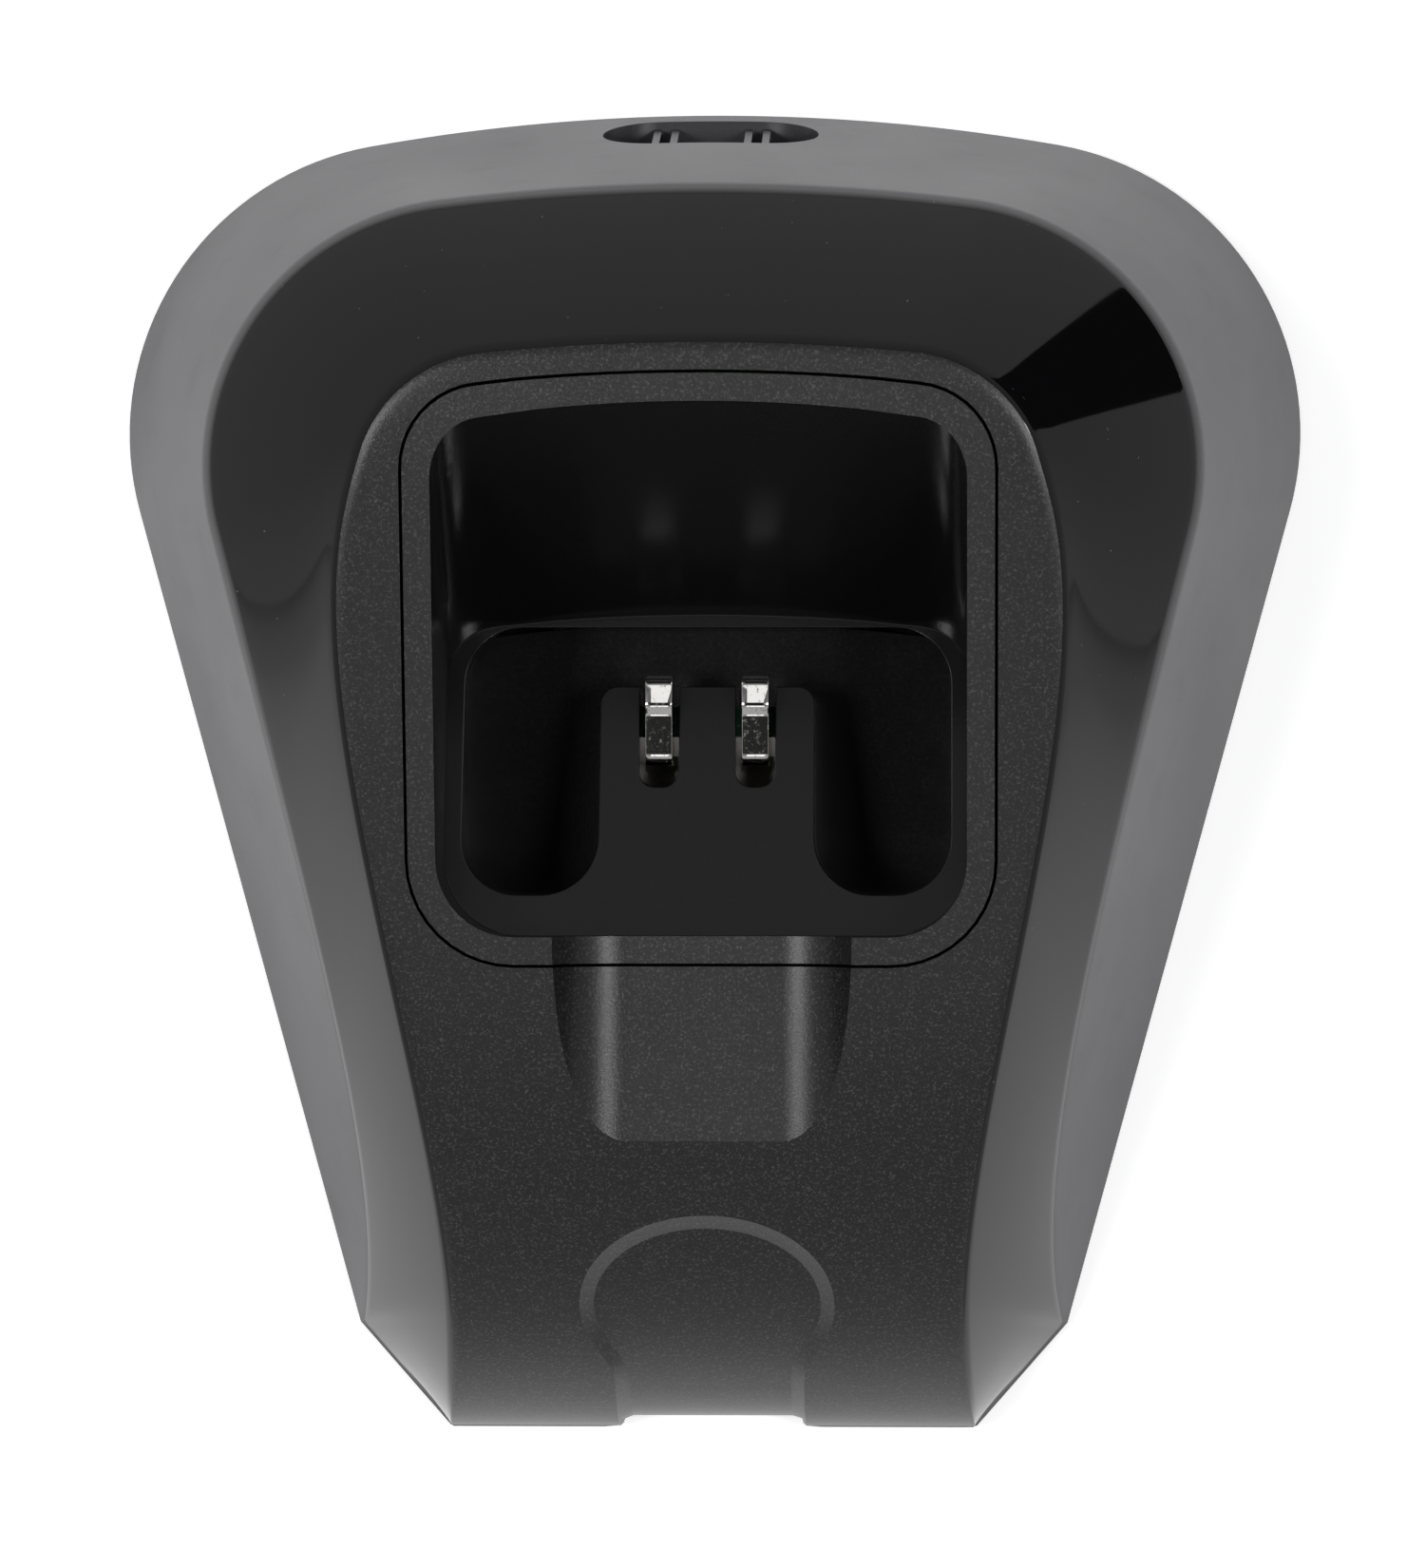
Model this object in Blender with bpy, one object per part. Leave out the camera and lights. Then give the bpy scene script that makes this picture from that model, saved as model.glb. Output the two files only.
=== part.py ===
"""Desktop charging cradle of a cordless phone, built from its separate pieces.

Units are metres, +Z is up and +Y points to the rear of the cradle.  The origin is on the table,
under the middle of the cradle.  Every driving size is a named constant in the first section.
"""
import math

import bmesh
import bpy
from mathutils import Vector

MM = 0.001

# ---------------------------------------------------------------- overall sizes
REAR_Y = 62.7 * MM              # rearmost point of the hem
FRONT_Y = -62.7 * MM            # front edge
HEM_HALF_WIDTH = 56.2 * MM
HEM_Z = 1.0 * MM                # lower edge of the housing above the table
RAMP_Z = 40.3 * MM              # height of the ramp at Y = 0
RAMP_SLOPE = 0.235              # rise of the ramp for each unit towards the rear
NOSE_LENGTH = 52.7 * MM         # the ramp rolls over to the front edge along this length
NOSE_POWER = 2.4                # how late the roll tightens
CREST_START_Y = 24.0 * MM       # where the ramp starts to level off at the rear
CREST_CURVE = 6.4               # levelling off, in 1/m
SKIRT_TOP_Z = 36.0 * MM         # top edge of the skirt at the rear
SKIRT_TOE_RISE = 0.6 * MM       # top edge of the skirt above the hem at the shoulder
SKIRT_FALL_POWER = 2.6          # how late the skirt's top edge starts to fall
SKIRT_LAND_POWER = 0.72         # how steeply it comes down to the shoulder

# ---------------------------------------------------------------- walls and clearances
WALL = 2.0 * MM
CUP_WALL = 1.8 * MM
GAP = 0.3 * MM                  # between pieces that sit against each other
EDGE_ROUND = 1.0 * MM           # size of the rounded edges of the shoulder
SHOULDER_BULGE = 0.035          # how far the shoulder swells, as a share of its width
SKIRT_INSET_HEIGHT = 10.0 * MM  # below this height the inner form's skirt fades into its hem
PANEL_INSET_WIDTH = 20.0 * MM   # the inner form's panel narrows fully beyond this half width
ROOT_SINK = 0.5 * MM            # how deep a boss or a rib runs into the wall it grows from

# ---------------------------------------------------------------- plan of the hem
HEM_REAR_RADIUS = 190.0 * MM
HEM_CORNER_RADIUS = 28.0 * MM
SIDE_ANGLE = math.radians(15.3)  # each side closes in towards the front
FACET_DEPTH = 9.9 * MM          # length of the front corner facet along Y
FRONT_HALF_WIDTH = 25.2 * MM
SHOULDER_Y = FRONT_Y + FACET_DEPTH

# ---------------------------------------------------------------- plan of the skirt's top edge
SKIRT_REAR_INSET = 9.3 * MM
SKIRT_SIDE_INSET = 10.5 * MM
SKIRT_REAR_RADIUS = 200.0 * MM
SKIRT_CORNER_RADIUS = 24.5 * MM
SKIRT_SIDE_ANGLE = math.radians(13.77)
SKIRT_WAIST_INSET = 4.27 * MM   # pull of the waist inside the hem's shoulder
SKIRT_END_INSET = (0.5 * MM, 0.2 * MM)
FACET_INSET = (0.35 * MM, 0.12 * MM)
SKIRT_HALF_WIDTH = HEM_HALF_WIDTH - SKIRT_SIDE_INSET

# ---------------------------------------------------------------- handset pocket
POCKET_HALF_WIDTH = 24.2 * MM
POCKET_FRONT_Y = -15.3 * MM
POCKET_REAR_Y = 33.1 * MM       # rear edge at the rim, on the centre line
POCKET_ARCH = 1.9 * MM          # how far the rear edge curves back towards the corners
POCKET_FRONT_RADIUS = 7.0 * MM
POCKET_REAR_RADIUS = 5.0 * MM
POCKET_LEAN = math.radians(30.0)  # lean of the back wall
FLANGE_WIDTH = 2.5 * MM         # the cup's flange round the pocket
LEDGE_FRONT_Z = 27.0 * MM       # ledge the handset stands on, at the front of the pocket
LEDGE_SLOPE = 0.385             # the ledge falls towards the rear
WELL_FLOOR_Z = 11.0 * MM
WELL_INSET = 1.4 * MM
WELL_FRONT_MARGIN = 3.7 * MM    # ledge left in front of the wells
WELL_REAR_MARGIN = 1.2 * MM     # ledge left between the wells and the back wall
WELL_CORNER_RADIUS = 5.3 * MM
PEDESTAL_HALF_WIDTH = 10.0 * MM
PEDESTAL_REAR_Y = 7.8 * MM
PEDESTAL_CORNER_RADIUS = 1.6 * MM
WELL_FRONT_Y = POCKET_FRONT_Y + WELL_FRONT_MARGIN

# ---------------------------------------------------------------- plan of the textured panel
PANEL_REAR_MARGIN = 5.3 * MM    # panel behind the pocket
PANEL_SIDE_MARGIN = 6.3 * MM    # panel beside the cup's flange
PANEL_CORNER_INSET = 1.8 * MM   # the rear corners stand inside the widest place
PANEL_REAR_RADIUS = 200.0 * MM
PANEL_CORNER_RADIUS = 13.0 * MM
PANEL_CORNER_TURN = math.radians(-18.0)
PANEL_WIDEST_Y = 14.0 * MM
PANEL_WAIST_HALF_WIDTH = 24.0 * MM
PANEL_WAIST_Y = FRONT_Y + 12.7 * MM
PANEL_FRONT_INSET = (0.25 * MM, 0.1 * MM)
PANEL_REAR_Y = POCKET_REAR_Y + PANEL_REAR_MARGIN
PANEL_HALF_WIDTH = POCKET_HALF_WIDTH + FLANGE_WIDTH + PANEL_SIDE_MARGIN
PANEL_CORNER_HALF_WIDTH = PANEL_HALF_WIDTH - PANEL_CORNER_INSET

# ---------------------------------------------------------------- trough and thumb scoop
TROUGH_HALF_WIDTH = 13.7 * MM
TROUGH_FILLET = 5.2 * MM
TROUGH_FLOOR_Z = 30.3 * MM
SCOOP_DEPTH = 1.0 * MM
SCOOP_HALF_WIDTH = 11.3 * MM
SCOOP_ARCH = 8.1 * MM
SCOOP_TURN = math.radians(115.0)  # how far round the arch runs before it narrows
SCOOP_NECK_HALF_WIDTH = 8.2 * MM
SCOOP_CENTRE_Y = FRONT_Y + 12.8 * MM
SCOOP_NECK_Y = FRONT_Y + 4.2 * MM

# ---------------------------------------------------------------- rear port
PORT_HALF_WIDTH = 10.2 * MM
PORT_BOTTOM_Z = 4.0 * MM
PORT_TOP_Z = 15.0 * MM
PORT_RADIUS = 5.3 * MM
RIB_THICKNESS = 0.7 * MM
RIB_PLACES = (3.5 * MM, 5.2 * MM)
RIB_HEIGHT = 8.0 * MM
RIB_LENGTH = 4.0 * MM

# ---------------------------------------------------------------- base cover, feet and screws
COVER_THICKNESS = 2.0 * MM
FOOT_RADIUS = 5.0 * MM
FOOT_RECESS = 0.7 * MM
REAR_FOOT = (HEM_HALF_WIDTH - 15.2 * MM, REAR_Y - 29.7 * MM)
FRONT_FOOT = (FRONT_HALF_WIDTH - 1.2 * MM, FRONT_Y + 12.7 * MM)
REAR_SCREW = (HEM_HALF_WIDTH - 20.2 * MM, REAR_Y - 18.7 * MM)
FRONT_SCREW = (FRONT_HALF_WIDTH + 0.3 * MM, FRONT_Y + 27.7 * MM)
SCREW_SHANK_RADIUS = 1.3 * MM
SCREW_HEAD_RADIUS = 2.7 * MM
SCREW_HEAD_HEIGHT = 1.8 * MM
SCREW_LENGTH = 11.0 * MM
SCREW_SINK = 2.2 * MM           # head sunk in the cover
SCREW_RECESS_WIDTH = 0.9 * MM   # each arm of the cross recess
PILOT_MARGIN = 1.0 * MM         # pilot hole beyond the screw's point
BOSS_WALL = 1.8 * MM
SCREW_WELL_HEIGHT = 4.2 * MM    # screw wells standing on the cover
CUP_SCREW_MARGIN = 4.0 * MM     # cup screws beside the cup's wall
CUP_SCREW_Y = 5.0 * MM
CUP_SCREW_LENGTH = 7.0 * MM
CUP_LUG_Z = 26.0 * MM
CUP_LUG_HALF_LENGTH = 3.5 * MM
CUP_LUG_RIM = 1.4 * MM          # lug beyond the screw's hole, and the taper of its end
CUP_SCREW_X = POCKET_HALF_WIDTH + CUP_WALL + CUP_SCREW_MARGIN

# ---------------------------------------------------------------- circuit board
BOARD_HALF_WIDTH = 15.0 * MM
BOARD_THICKNESS = 1.6 * MM
BOARD_CORNER_RADIUS = 1.5 * MM
BOARD_REAR_Y = REAR_Y - 10.7 * MM
STANDOFF_HEIGHT = 2.0 * MM
STANDOFF_RADIUS = 2.6 * MM
BOARD_SCREW_X = 11.8 * MM
BOARD_SCREW_Y = BOARD_REAR_Y - 22.0 * MM
BOARD_SCREW_LENGTH = 3.6 * MM
BOARD_SCREW_HEAD = (2.3 * MM, 1.4 * MM)  # radius and height
BOARD_BOTTOM_Z = HEM_Z + COVER_THICKNESS + STANDOFF_HEIGHT + GAP
BOARD_TOP_Z = BOARD_BOTTOM_Z + BOARD_THICKNESS
SCREW_WELL_TOP_Z = HEM_Z + COVER_THICKNESS + SCREW_WELL_HEIGHT
JACK_HALF_WIDTH = 6.5 * MM
JACK_LENGTH = 12.0 * MM
JACK_HEIGHT = 9.5 * MM
JACK_HOLE_RADIUS = 3.1 * MM
JACK_HOLE_DEPTH = 9.0 * MM
JACK_PIN_RADIUS = 0.8 * MM
JACK_PIN_SINK = 1.5 * MM        # the pin ends this far inside the mouth

# ---------------------------------------------------------------- charging contacts
CONTACT_PITCH = 9.0 * MM
CONTACT_WIDTH = 2.5 * MM
CONTACT_THICKNESS = 0.4 * MM
CONTACT_CREST_RISE = 2.9 * MM   # crest above the pedestal's top
CONTACT_REACH = 6.4 * MM        # from the root to the crest
CONTACT_CREST_Y = PEDESTAL_REAR_Y - 0.8 * MM
CONTACT_ROOT_Y = CONTACT_CREST_Y - CONTACT_REACH
CONTACT_ROOT_Z = BOARD_TOP_Z + 6.1 * MM  # hinge line of the sprung arm
CONTACT_ROOT_DEPTH = 1.2 * MM   # riser below the hinge line
SLOT_CLEARANCE = 0.6 * MM       # each side of a contact
SLOT_WIDTH = CONTACT_WIDTH + 2 * SLOT_CLEARANCE
SLOT_FRONT_Y = CONTACT_ROOT_Y - 2.2 * MM
SLOT_DEPTH = 5.5 * MM           # below the pedestal's rear edge
CARRIER_FRONT = 4.0 * MM        # carrier in front of the root
CARRIER_REAR = 2.5 * MM         # carrier behind the root
BOARD_FRONT_Y = CONTACT_ROOT_Y - 12.6 * MM

# ---------------------------------------------------------------- parts on the board
CAPACITOR_RADIUS = 3.2 * MM
CAPACITOR_HEIGHT = 8.0 * MM
CAPACITOR_PLACE = (6.5 * MM, BOARD_REAR_Y - 28.0 * MM)
COIL_SIZE = (6.5 * MM, 6.5 * MM, 4.0 * MM)
COIL_PLACE = (-6.75 * MM, BOARD_REAR_Y - 16.0 * MM)
REGULATOR_SIZE = (6.5 * MM, 6.5 * MM, 2.3 * MM)
REGULATOR_PLACE = (-5.75 * MM, BOARD_REAR_Y - 28.75 * MM)
FUSE_SIZE = (4.5 * MM, 3.2 * MM, 1.8 * MM)
FUSE_PLACE = (5.75 * MM, BOARD_REAR_Y - 16.4 * MM)
RESISTOR_SIZE = (3.2 * MM, 1.6 * MM, 0.6 * MM)
RESISTOR_PLACE = (-11.4 * MM, CONTACT_ROOT_Y + 9.2 * MM)
RESISTOR_PITCH = 3.4 * MM
DIODE_SIZE = (4.0 * MM, 2.6 * MM, 1.2 * MM)
DIODE_PLACE = (11.5 * MM, CONTACT_ROOT_Y + 12.7 * MM)

# ---------------------------------------------------------------- rating label
LABEL_HALF_SIZE = (17.0 * MM, 12.0 * MM)
LABEL_RADIUS = 2.0 * MM
LABEL_THICKNESS = 0.15 * MM

# ---------------------------------------------------------------- mesh fineness
REAR_STEPS = 4
CORNER_STEPS = 9
SIDE_STEPS = 13
FACET_STEPS = 5
ROUND_STEPS = 24
ARC_STEPS = 5
NOSE_STEPS = 32
FAR = 0.09                      # reach of cutters beyond the cradle
BELOW = -9.0 * MM               # level of cutters below the table


# ================================================================ curves of the housing
def ramp_height(y, inset=0.0):
    """Height of the ramped panel at y; inset gives the surface that far inside it."""
    drop = inset * math.hypot(1.0, RAMP_SLOPE)
    height = RAMP_Z + RAMP_SLOPE * y - drop
    if y > CREST_START_Y:
        height -= CREST_CURVE * (y - CREST_START_Y) ** 2
    nose_y = FRONT_Y + inset
    nose_drop = RAMP_Z + RAMP_SLOPE * nose_y - drop - HEM_Z
    roll_start = FRONT_Y + NOSE_LENGTH
    reach = (roll_start - y) / (roll_start - nose_y)
    reach = min(max(reach, 0.0), 1.0)
    return height - nose_drop * (1.0 - math.sqrt(1.0 - reach ** NOSE_POWER))


def skirt_height(y):
    """Height of the skirt's top edge at y: high at the rear, down to the hem at the shoulder."""
    rear_y = REAR_Y - SKIRT_REAR_INSET
    reach = min(max((rear_y - y) / (rear_y - SHOULDER_Y), 0.0), 1.0)
    toe_z = HEM_Z + SKIRT_TOE_RISE
    return toe_z + (SKIRT_TOP_Z - toe_z) * (1.0 - reach ** SKIRT_FALL_POWER) ** SKIRT_LAND_POWER


def ledge_height(y):
    """Height of the sloping ledge and pedestal top at y."""
    return LEDGE_FRONT_Z - LEDGE_SLOPE * (y - POCKET_FRONT_Y)


def back_wall_foot_y():
    """Where the pocket's leaning back wall meets the ledge, on the centre line."""
    rise = 1.0 / math.tan(POCKET_LEAN)
    wall_at_origin = ramp_height(POCKET_REAR_Y) - POCKET_REAR_Y * rise
    return (ledge_height(0.0) - wall_at_origin) / (rise + LEDGE_SLOPE)


def bezier(start, handle_a, handle_b, end, steps):
    """Points of a cubic curve, its start left out."""
    points = []
    for step in range(1, steps + 1):
        t = step / steps
        a, b, c, d = (1 - t) ** 3, 3 * t * (1 - t) ** 2, 3 * t * t * (1 - t), t ** 3
        points.append((a * start[0] + b * handle_a[0] + c * handle_b[0] + d * end[0],
                       a * start[1] + b * handle_a[1] + c * handle_b[1] + d * end[1]))
    return points


def rear_and_corner(rear_y, rear_radius, corner_radius, widest, end_angle):
    """Points from the rear centre round the corner, to where the corner arc reaches end_angle."""
    corner_x = widest - corner_radius
    span = rear_radius - corner_radius
    corner_y = rear_y - rear_radius + math.sqrt(span ** 2 - corner_x ** 2)
    turn = math.asin(corner_x / span)
    points = []
    for step in range(REAR_STEPS):
        angle = turn * step / REAR_STEPS
        points.append((rear_radius * math.sin(angle), rear_y - rear_radius * (1 - math.cos(angle))))
    for step in range(CORNER_STEPS + 1):
        angle = turn + (math.pi / 2 + end_angle - turn) * step / CORNER_STEPS
        points.append((corner_x + corner_radius * math.sin(angle),
                       corner_y + corner_radius * math.cos(angle)))
    return points


def hem_outline():
    """Right half of the hem, from the rear centre to the front corner."""
    points = rear_and_corner(REAR_Y, HEM_REAR_RADIUS, HEM_CORNER_RADIUS, HEM_HALF_WIDTH, SIDE_ANGLE)
    top_x, top_y = points[-1]
    shoulder = (top_x - (top_y - SHOULDER_Y) * math.tan(SIDE_ANGLE), SHOULDER_Y)
    for step in range(1, SIDE_STEPS + 1):
        t = step / SIDE_STEPS
        points.append((top_x + (shoulder[0] - top_x) * t, top_y + (shoulder[1] - top_y) * t))
    for step in range(1, FACET_STEPS + 1):
        t = step / FACET_STEPS
        points.append((shoulder[0] + (FRONT_HALF_WIDTH - shoulder[0]) * t,
                       shoulder[1] + (FRONT_Y - shoulder[1]) * t))
    return points


def skirt_outline():
    """Right half of the skirt's top edge, station for station with the hem."""
    hem = hem_outline()
    points = rear_and_corner(REAR_Y - SKIRT_REAR_INSET, SKIRT_REAR_RADIUS, SKIRT_CORNER_RADIUS,
                             SKIRT_HALF_WIDTH, SKIRT_SIDE_ANGLE)
    start = points[-1]
    shoulder = hem[REAR_STEPS + CORNER_STEPS + SIDE_STEPS]
    end = (shoulder[0] - SKIRT_END_INSET[0], shoulder[1] + SKIRT_END_INSET[1])
    length = start[1] - end[1]
    straight, pulled = 0.45 * length, 0.198 * length
    handle_a = (start[0] - math.tan(SKIRT_SIDE_ANGLE) * straight, start[1] - straight)
    handle_b = (shoulder[0] - SKIRT_WAIST_INSET, end[1] + pulled)
    points += bezier(start, handle_a, handle_b, end, SIDE_STEPS)
    points += [(x - FACET_INSET[0], y + FACET_INSET[1]) for x, y in hem[-FACET_STEPS:]]
    return points


def panel_outline(front_inset=0.0):
    """Right half of the textured panel's edge, station for station with the hem."""
    points = rear_and_corner(PANEL_REAR_Y, PANEL_REAR_RADIUS, PANEL_CORNER_RADIUS,
                             PANEL_CORNER_HALF_WIDTH, PANEL_CORNER_TURN)
    start = points[-1]
    widest = (PANEL_HALF_WIDTH, PANEL_WIDEST_Y)
    waist = (PANEL_WAIST_HALF_WIDTH, PANEL_WAIST_Y)
    upper = SIDE_STEPS // 4
    rise = start[1] - widest[1]
    fall = widest[1] - waist[1]
    lead = 0.35 * rise
    points += bezier(start, (start[0] - math.tan(PANEL_CORNER_TURN) * lead, start[1] - lead),
                     (widest[0], widest[1] + 0.4 * rise), widest, upper)
    points += bezier(widest, (widest[0], widest[1] - 0.3 * fall),
                     (waist[0], waist[1] + 0.28 * fall), waist, SIDE_STEPS - upper)
    end_y = FRONT_Y + PANEL_FRONT_INSET[1]
    for step in range(1, FACET_STEPS + 1):
        t = math.sin(math.pi / 2 * step / FACET_STEPS)
        flare = (FRONT_HALF_WIDTH - PANEL_FRONT_INSET[0] - waist[0]) * t ** 2
        points.append((waist[0] + flare, waist[1] + (end_y - waist[1]) * t))
    roll_start = FRONT_Y + NOSE_LENGTH
    return [(x, y + front_inset * min(max((roll_start - y) / NOSE_LENGTH, 0.0), 1.0)) for x, y in points]


def inset_half(points, distance):
    """Moves a half outline inwards by distance, or by one distance for each point."""
    if isinstance(distance, float):
        distance = [distance] * len(points)
    first = Vector((-points[1][0], points[1][1]))
    last = Vector((-points[-1][0], points[-1][1]))
    line = [first] + [Vector(p) for p in points] + [last]
    moved = []
    for index in range(1, len(line) - 1):
        before = (line[index] - line[index - 1]).normalized()
        after = (line[index + 1] - line[index]).normalized()
        normal = Vector((before.y, -before.x)) + Vector((after.y, -after.x))
        normal.normalize()
        spread = normal.dot(Vector((before.y, -before.x)))
        point = line[index] + normal * (distance[index - 1] / spread)
        moved.append((max(point.x, 0.0), point.y))
    return moved


# ================================================================ mesh helpers
def make_object(name, verts, faces):
    """A mesh object with outward faces from vertices and faces."""
    mesh = bpy.data.meshes.new(name)
    mesh.from_pydata([tuple(v) for v in verts], [], faces)
    work = bmesh.new()
    work.from_mesh(mesh)
    bmesh.ops.remove_doubles(work, verts=work.verts, dist=1e-6)
    bmesh.ops.recalc_face_normals(work, faces=work.faces)
    if work.calc_volume(signed=True) < 0:
        bmesh.ops.reverse_faces(work, faces=work.faces)
    work.to_mesh(mesh)
    work.free()
    obj = bpy.data.objects.new(name, mesh)
    bpy.context.collection.objects.link(obj)
    return obj


def prism(name, outline, low, high):
    """An upright prism; low and high are heights, or functions of (x, y)."""
    count = len(outline)
    low_at = low if callable(low) else (lambda x, y: low)
    high_at = high if callable(high) else (lambda x, y: high)
    verts = [(x, y, low_at(x, y)) for x, y in outline]
    verts += [(x, y, high_at(x, y)) for x, y in outline]
    faces = [tuple(range(count - 1, -1, -1)), tuple(range(count, 2 * count))]
    faces += [(i, (i + 1) % count, count + (i + 1) % count, count + i) for i in range(count)]
    return make_object(name, verts, faces)


def box(name, low, high):
    """A box between two corners."""
    outline = [(low[0], low[1]), (high[0], low[1]), (high[0], high[1]), (low[0], high[1])]
    return prism(name, outline, low[2], high[2])


def circle(x, y, radius, steps=ROUND_STEPS):
    """Points of a circle."""
    return [(x + radius * math.cos(2 * math.pi * i / steps),
             y + radius * math.sin(2 * math.pi * i / steps)) for i in range(steps)]


def disc(name, x, y, radius, low, high, steps=ROUND_STEPS):
    """An upright cylinder."""
    return prism(name, circle(x, y, radius, steps), low, high)


def side_profile(name, outline, half_width, centre_x=0.0):
    """A solid with an outline in the YZ plane, extruded along X."""
    count = len(outline)
    verts = [(centre_x - half_width, y, z) for y, z in outline]
    verts += [(centre_x + half_width, y, z) for y, z in outline]
    faces = [tuple(range(count)), tuple(range(2 * count - 1, count - 1, -1))]
    faces += [(i, count + i, count + (i + 1) % count, (i + 1) % count) for i in range(count)]
    return make_object(name, verts, faces)


def rear_profile(name, outline, low_y, high_y):
    """A solid with an outline in the XZ plane, extruded along Y."""
    count = len(outline)
    verts = [(x, low_y, z) for x, z in outline] + [(x, high_y, z) for x, z in outline]
    faces = [tuple(range(count)), tuple(range(2 * count - 1, count - 1, -1))]
    faces += [(i, count + i, count + (i + 1) % count, (i + 1) % count) for i in range(count)]
    return make_object(name, verts, faces)


def rounded(corners, steps=ARC_STEPS):
    """Outline through corners given as (x, y, radius), each corner rounded by its radius."""
    points = []
    count = len(corners)
    for index, (x, y, radius) in enumerate(corners):
        here = Vector((x, y))
        before = (Vector(corners[index - 1][:2]) - here).normalized()
        after = (Vector(corners[(index + 1) % count][:2]) - here).normalized()
        if radius <= 0.0:
            points.append((x, y))
            continue
        half = math.acos(max(-1.0, min(1.0, before.dot(after)))) / 2
        centre = here + (before + after).normalized() * (radius / math.sin(half))
        start = here + before * (radius / math.tan(half)) - centre
        end = here + after * (radius / math.tan(half)) - centre
        sweep = math.atan2(start.x * end.y - start.y * end.x, start.dot(end))
        for step in range(steps + 1):
            angle = sweep * step / steps
            points.append((centre.x + start.x * math.cos(angle) - start.y * math.sin(angle),
                           centre.y + start.x * math.sin(angle) + start.y * math.cos(angle)))
    return points


def apply_boolean(target, cutter, operation):
    """Applies one exact Boolean and removes the cutter."""
    modifier = target.modifiers.new("cut", "BOOLEAN")
    modifier.operation = operation
    modifier.solver = "EXACT"
    modifier.object = cutter
    bpy.context.view_layer.update()
    graph = bpy.context.evaluated_depsgraph_get()
    result = bpy.data.meshes.new_from_object(target.evaluated_get(graph))
    target.modifiers.remove(modifier)
    target.data = result
    bpy.data.objects.remove(cutter)
    return target


def cut(target, cutter):
    """Takes cutter away from target."""
    return apply_boolean(target, cutter, "DIFFERENCE")


def join(target, other):
    """Adds other to target."""
    return apply_boolean(target, other, "UNION")


def keep_inside(target, other):
    """Keeps only what target shares with other."""
    return apply_boolean(target, other, "INTERSECT")


def finish(obj, name, colour, roughness, metallic=0.0, smooth_angle=35.0):
    """Names a finished piece, shades it and gives it its own material."""
    obj.name = name
    obj.data.name = name
    material = bpy.data.materials.new(name + "_finish")
    material.use_nodes = True
    shader = material.node_tree.nodes["Principled BSDF"]
    shader.inputs["Base Color"].default_value = (*colour, 1.0)
    shader.inputs["Roughness"].default_value = roughness
    shader.inputs["Metallic"].default_value = metallic
    obj.data.materials.clear()
    obj.data.materials.append(material)
    obj.data.shade_smooth()
    obj.data.set_sharp_from_angle(angle=math.radians(smooth_angle))
    return obj


# ================================================================ large shapes shared by the pieces
def full_loop(half):
    """A closed ring of points from its right half."""
    right = [(p.x, p.y, p.z) for p in half]
    left = [(-x, y, z) for x, y, z in reversed(right) if x > 1e-9]
    return right + left


def dome_edges(inset):
    """The hem, the skirt's top edge and the panel's edge as 3-D points, all moved in by inset."""
    hem = inset_half(hem_outline(), inset * 1.03)
    skirt_plan = skirt_outline()
    skirt_z = [skirt_height(y) for _, y in skirt_plan]
    tall = [min(1.0, (z - HEM_Z) / SKIRT_INSET_HEIGHT) for z in skirt_z]
    skirt_plan = inset_half(skirt_plan, [inset * (1.05 - 0.2 * share) for share in tall])
    skirt_z = [max(HEM_Z + GAP, z - 0.65 * inset * share) for z, share in zip(skirt_z, tall)]
    panel = [(max(x - 0.4 * inset * min(1.0, x / PANEL_INSET_WIDTH), 0.0), y)
             for x, y in panel_outline(inset)]
    foot_z = HEM_Z - GAP if inset > 0.0 else HEM_Z
    feet = [Vector((x, y, foot_z)) for x, y in hem]
    edges = [Vector((x, y, z)) for (x, y), z in zip(skirt_plan, skirt_z)]
    crowns = [Vector((x, y, ramp_height(y, inset))) for x, y in panel]
    return feet, edges, crowns


def shoulder_swell(foot, crown, width):
    """How far the middle of the shoulder stands off the straight line between its edges."""
    outward = Vector((foot.x - crown.x, foot.y - crown.y, 0.0))
    if outward.length < 1e-6 or width < 5 * EDGE_ROUND:
        return Vector((0.0, 0.0, 0.0))
    return SHOULDER_BULGE * width * (outward.normalized() + Vector((0.0, 0.0, 1.0)))


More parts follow.
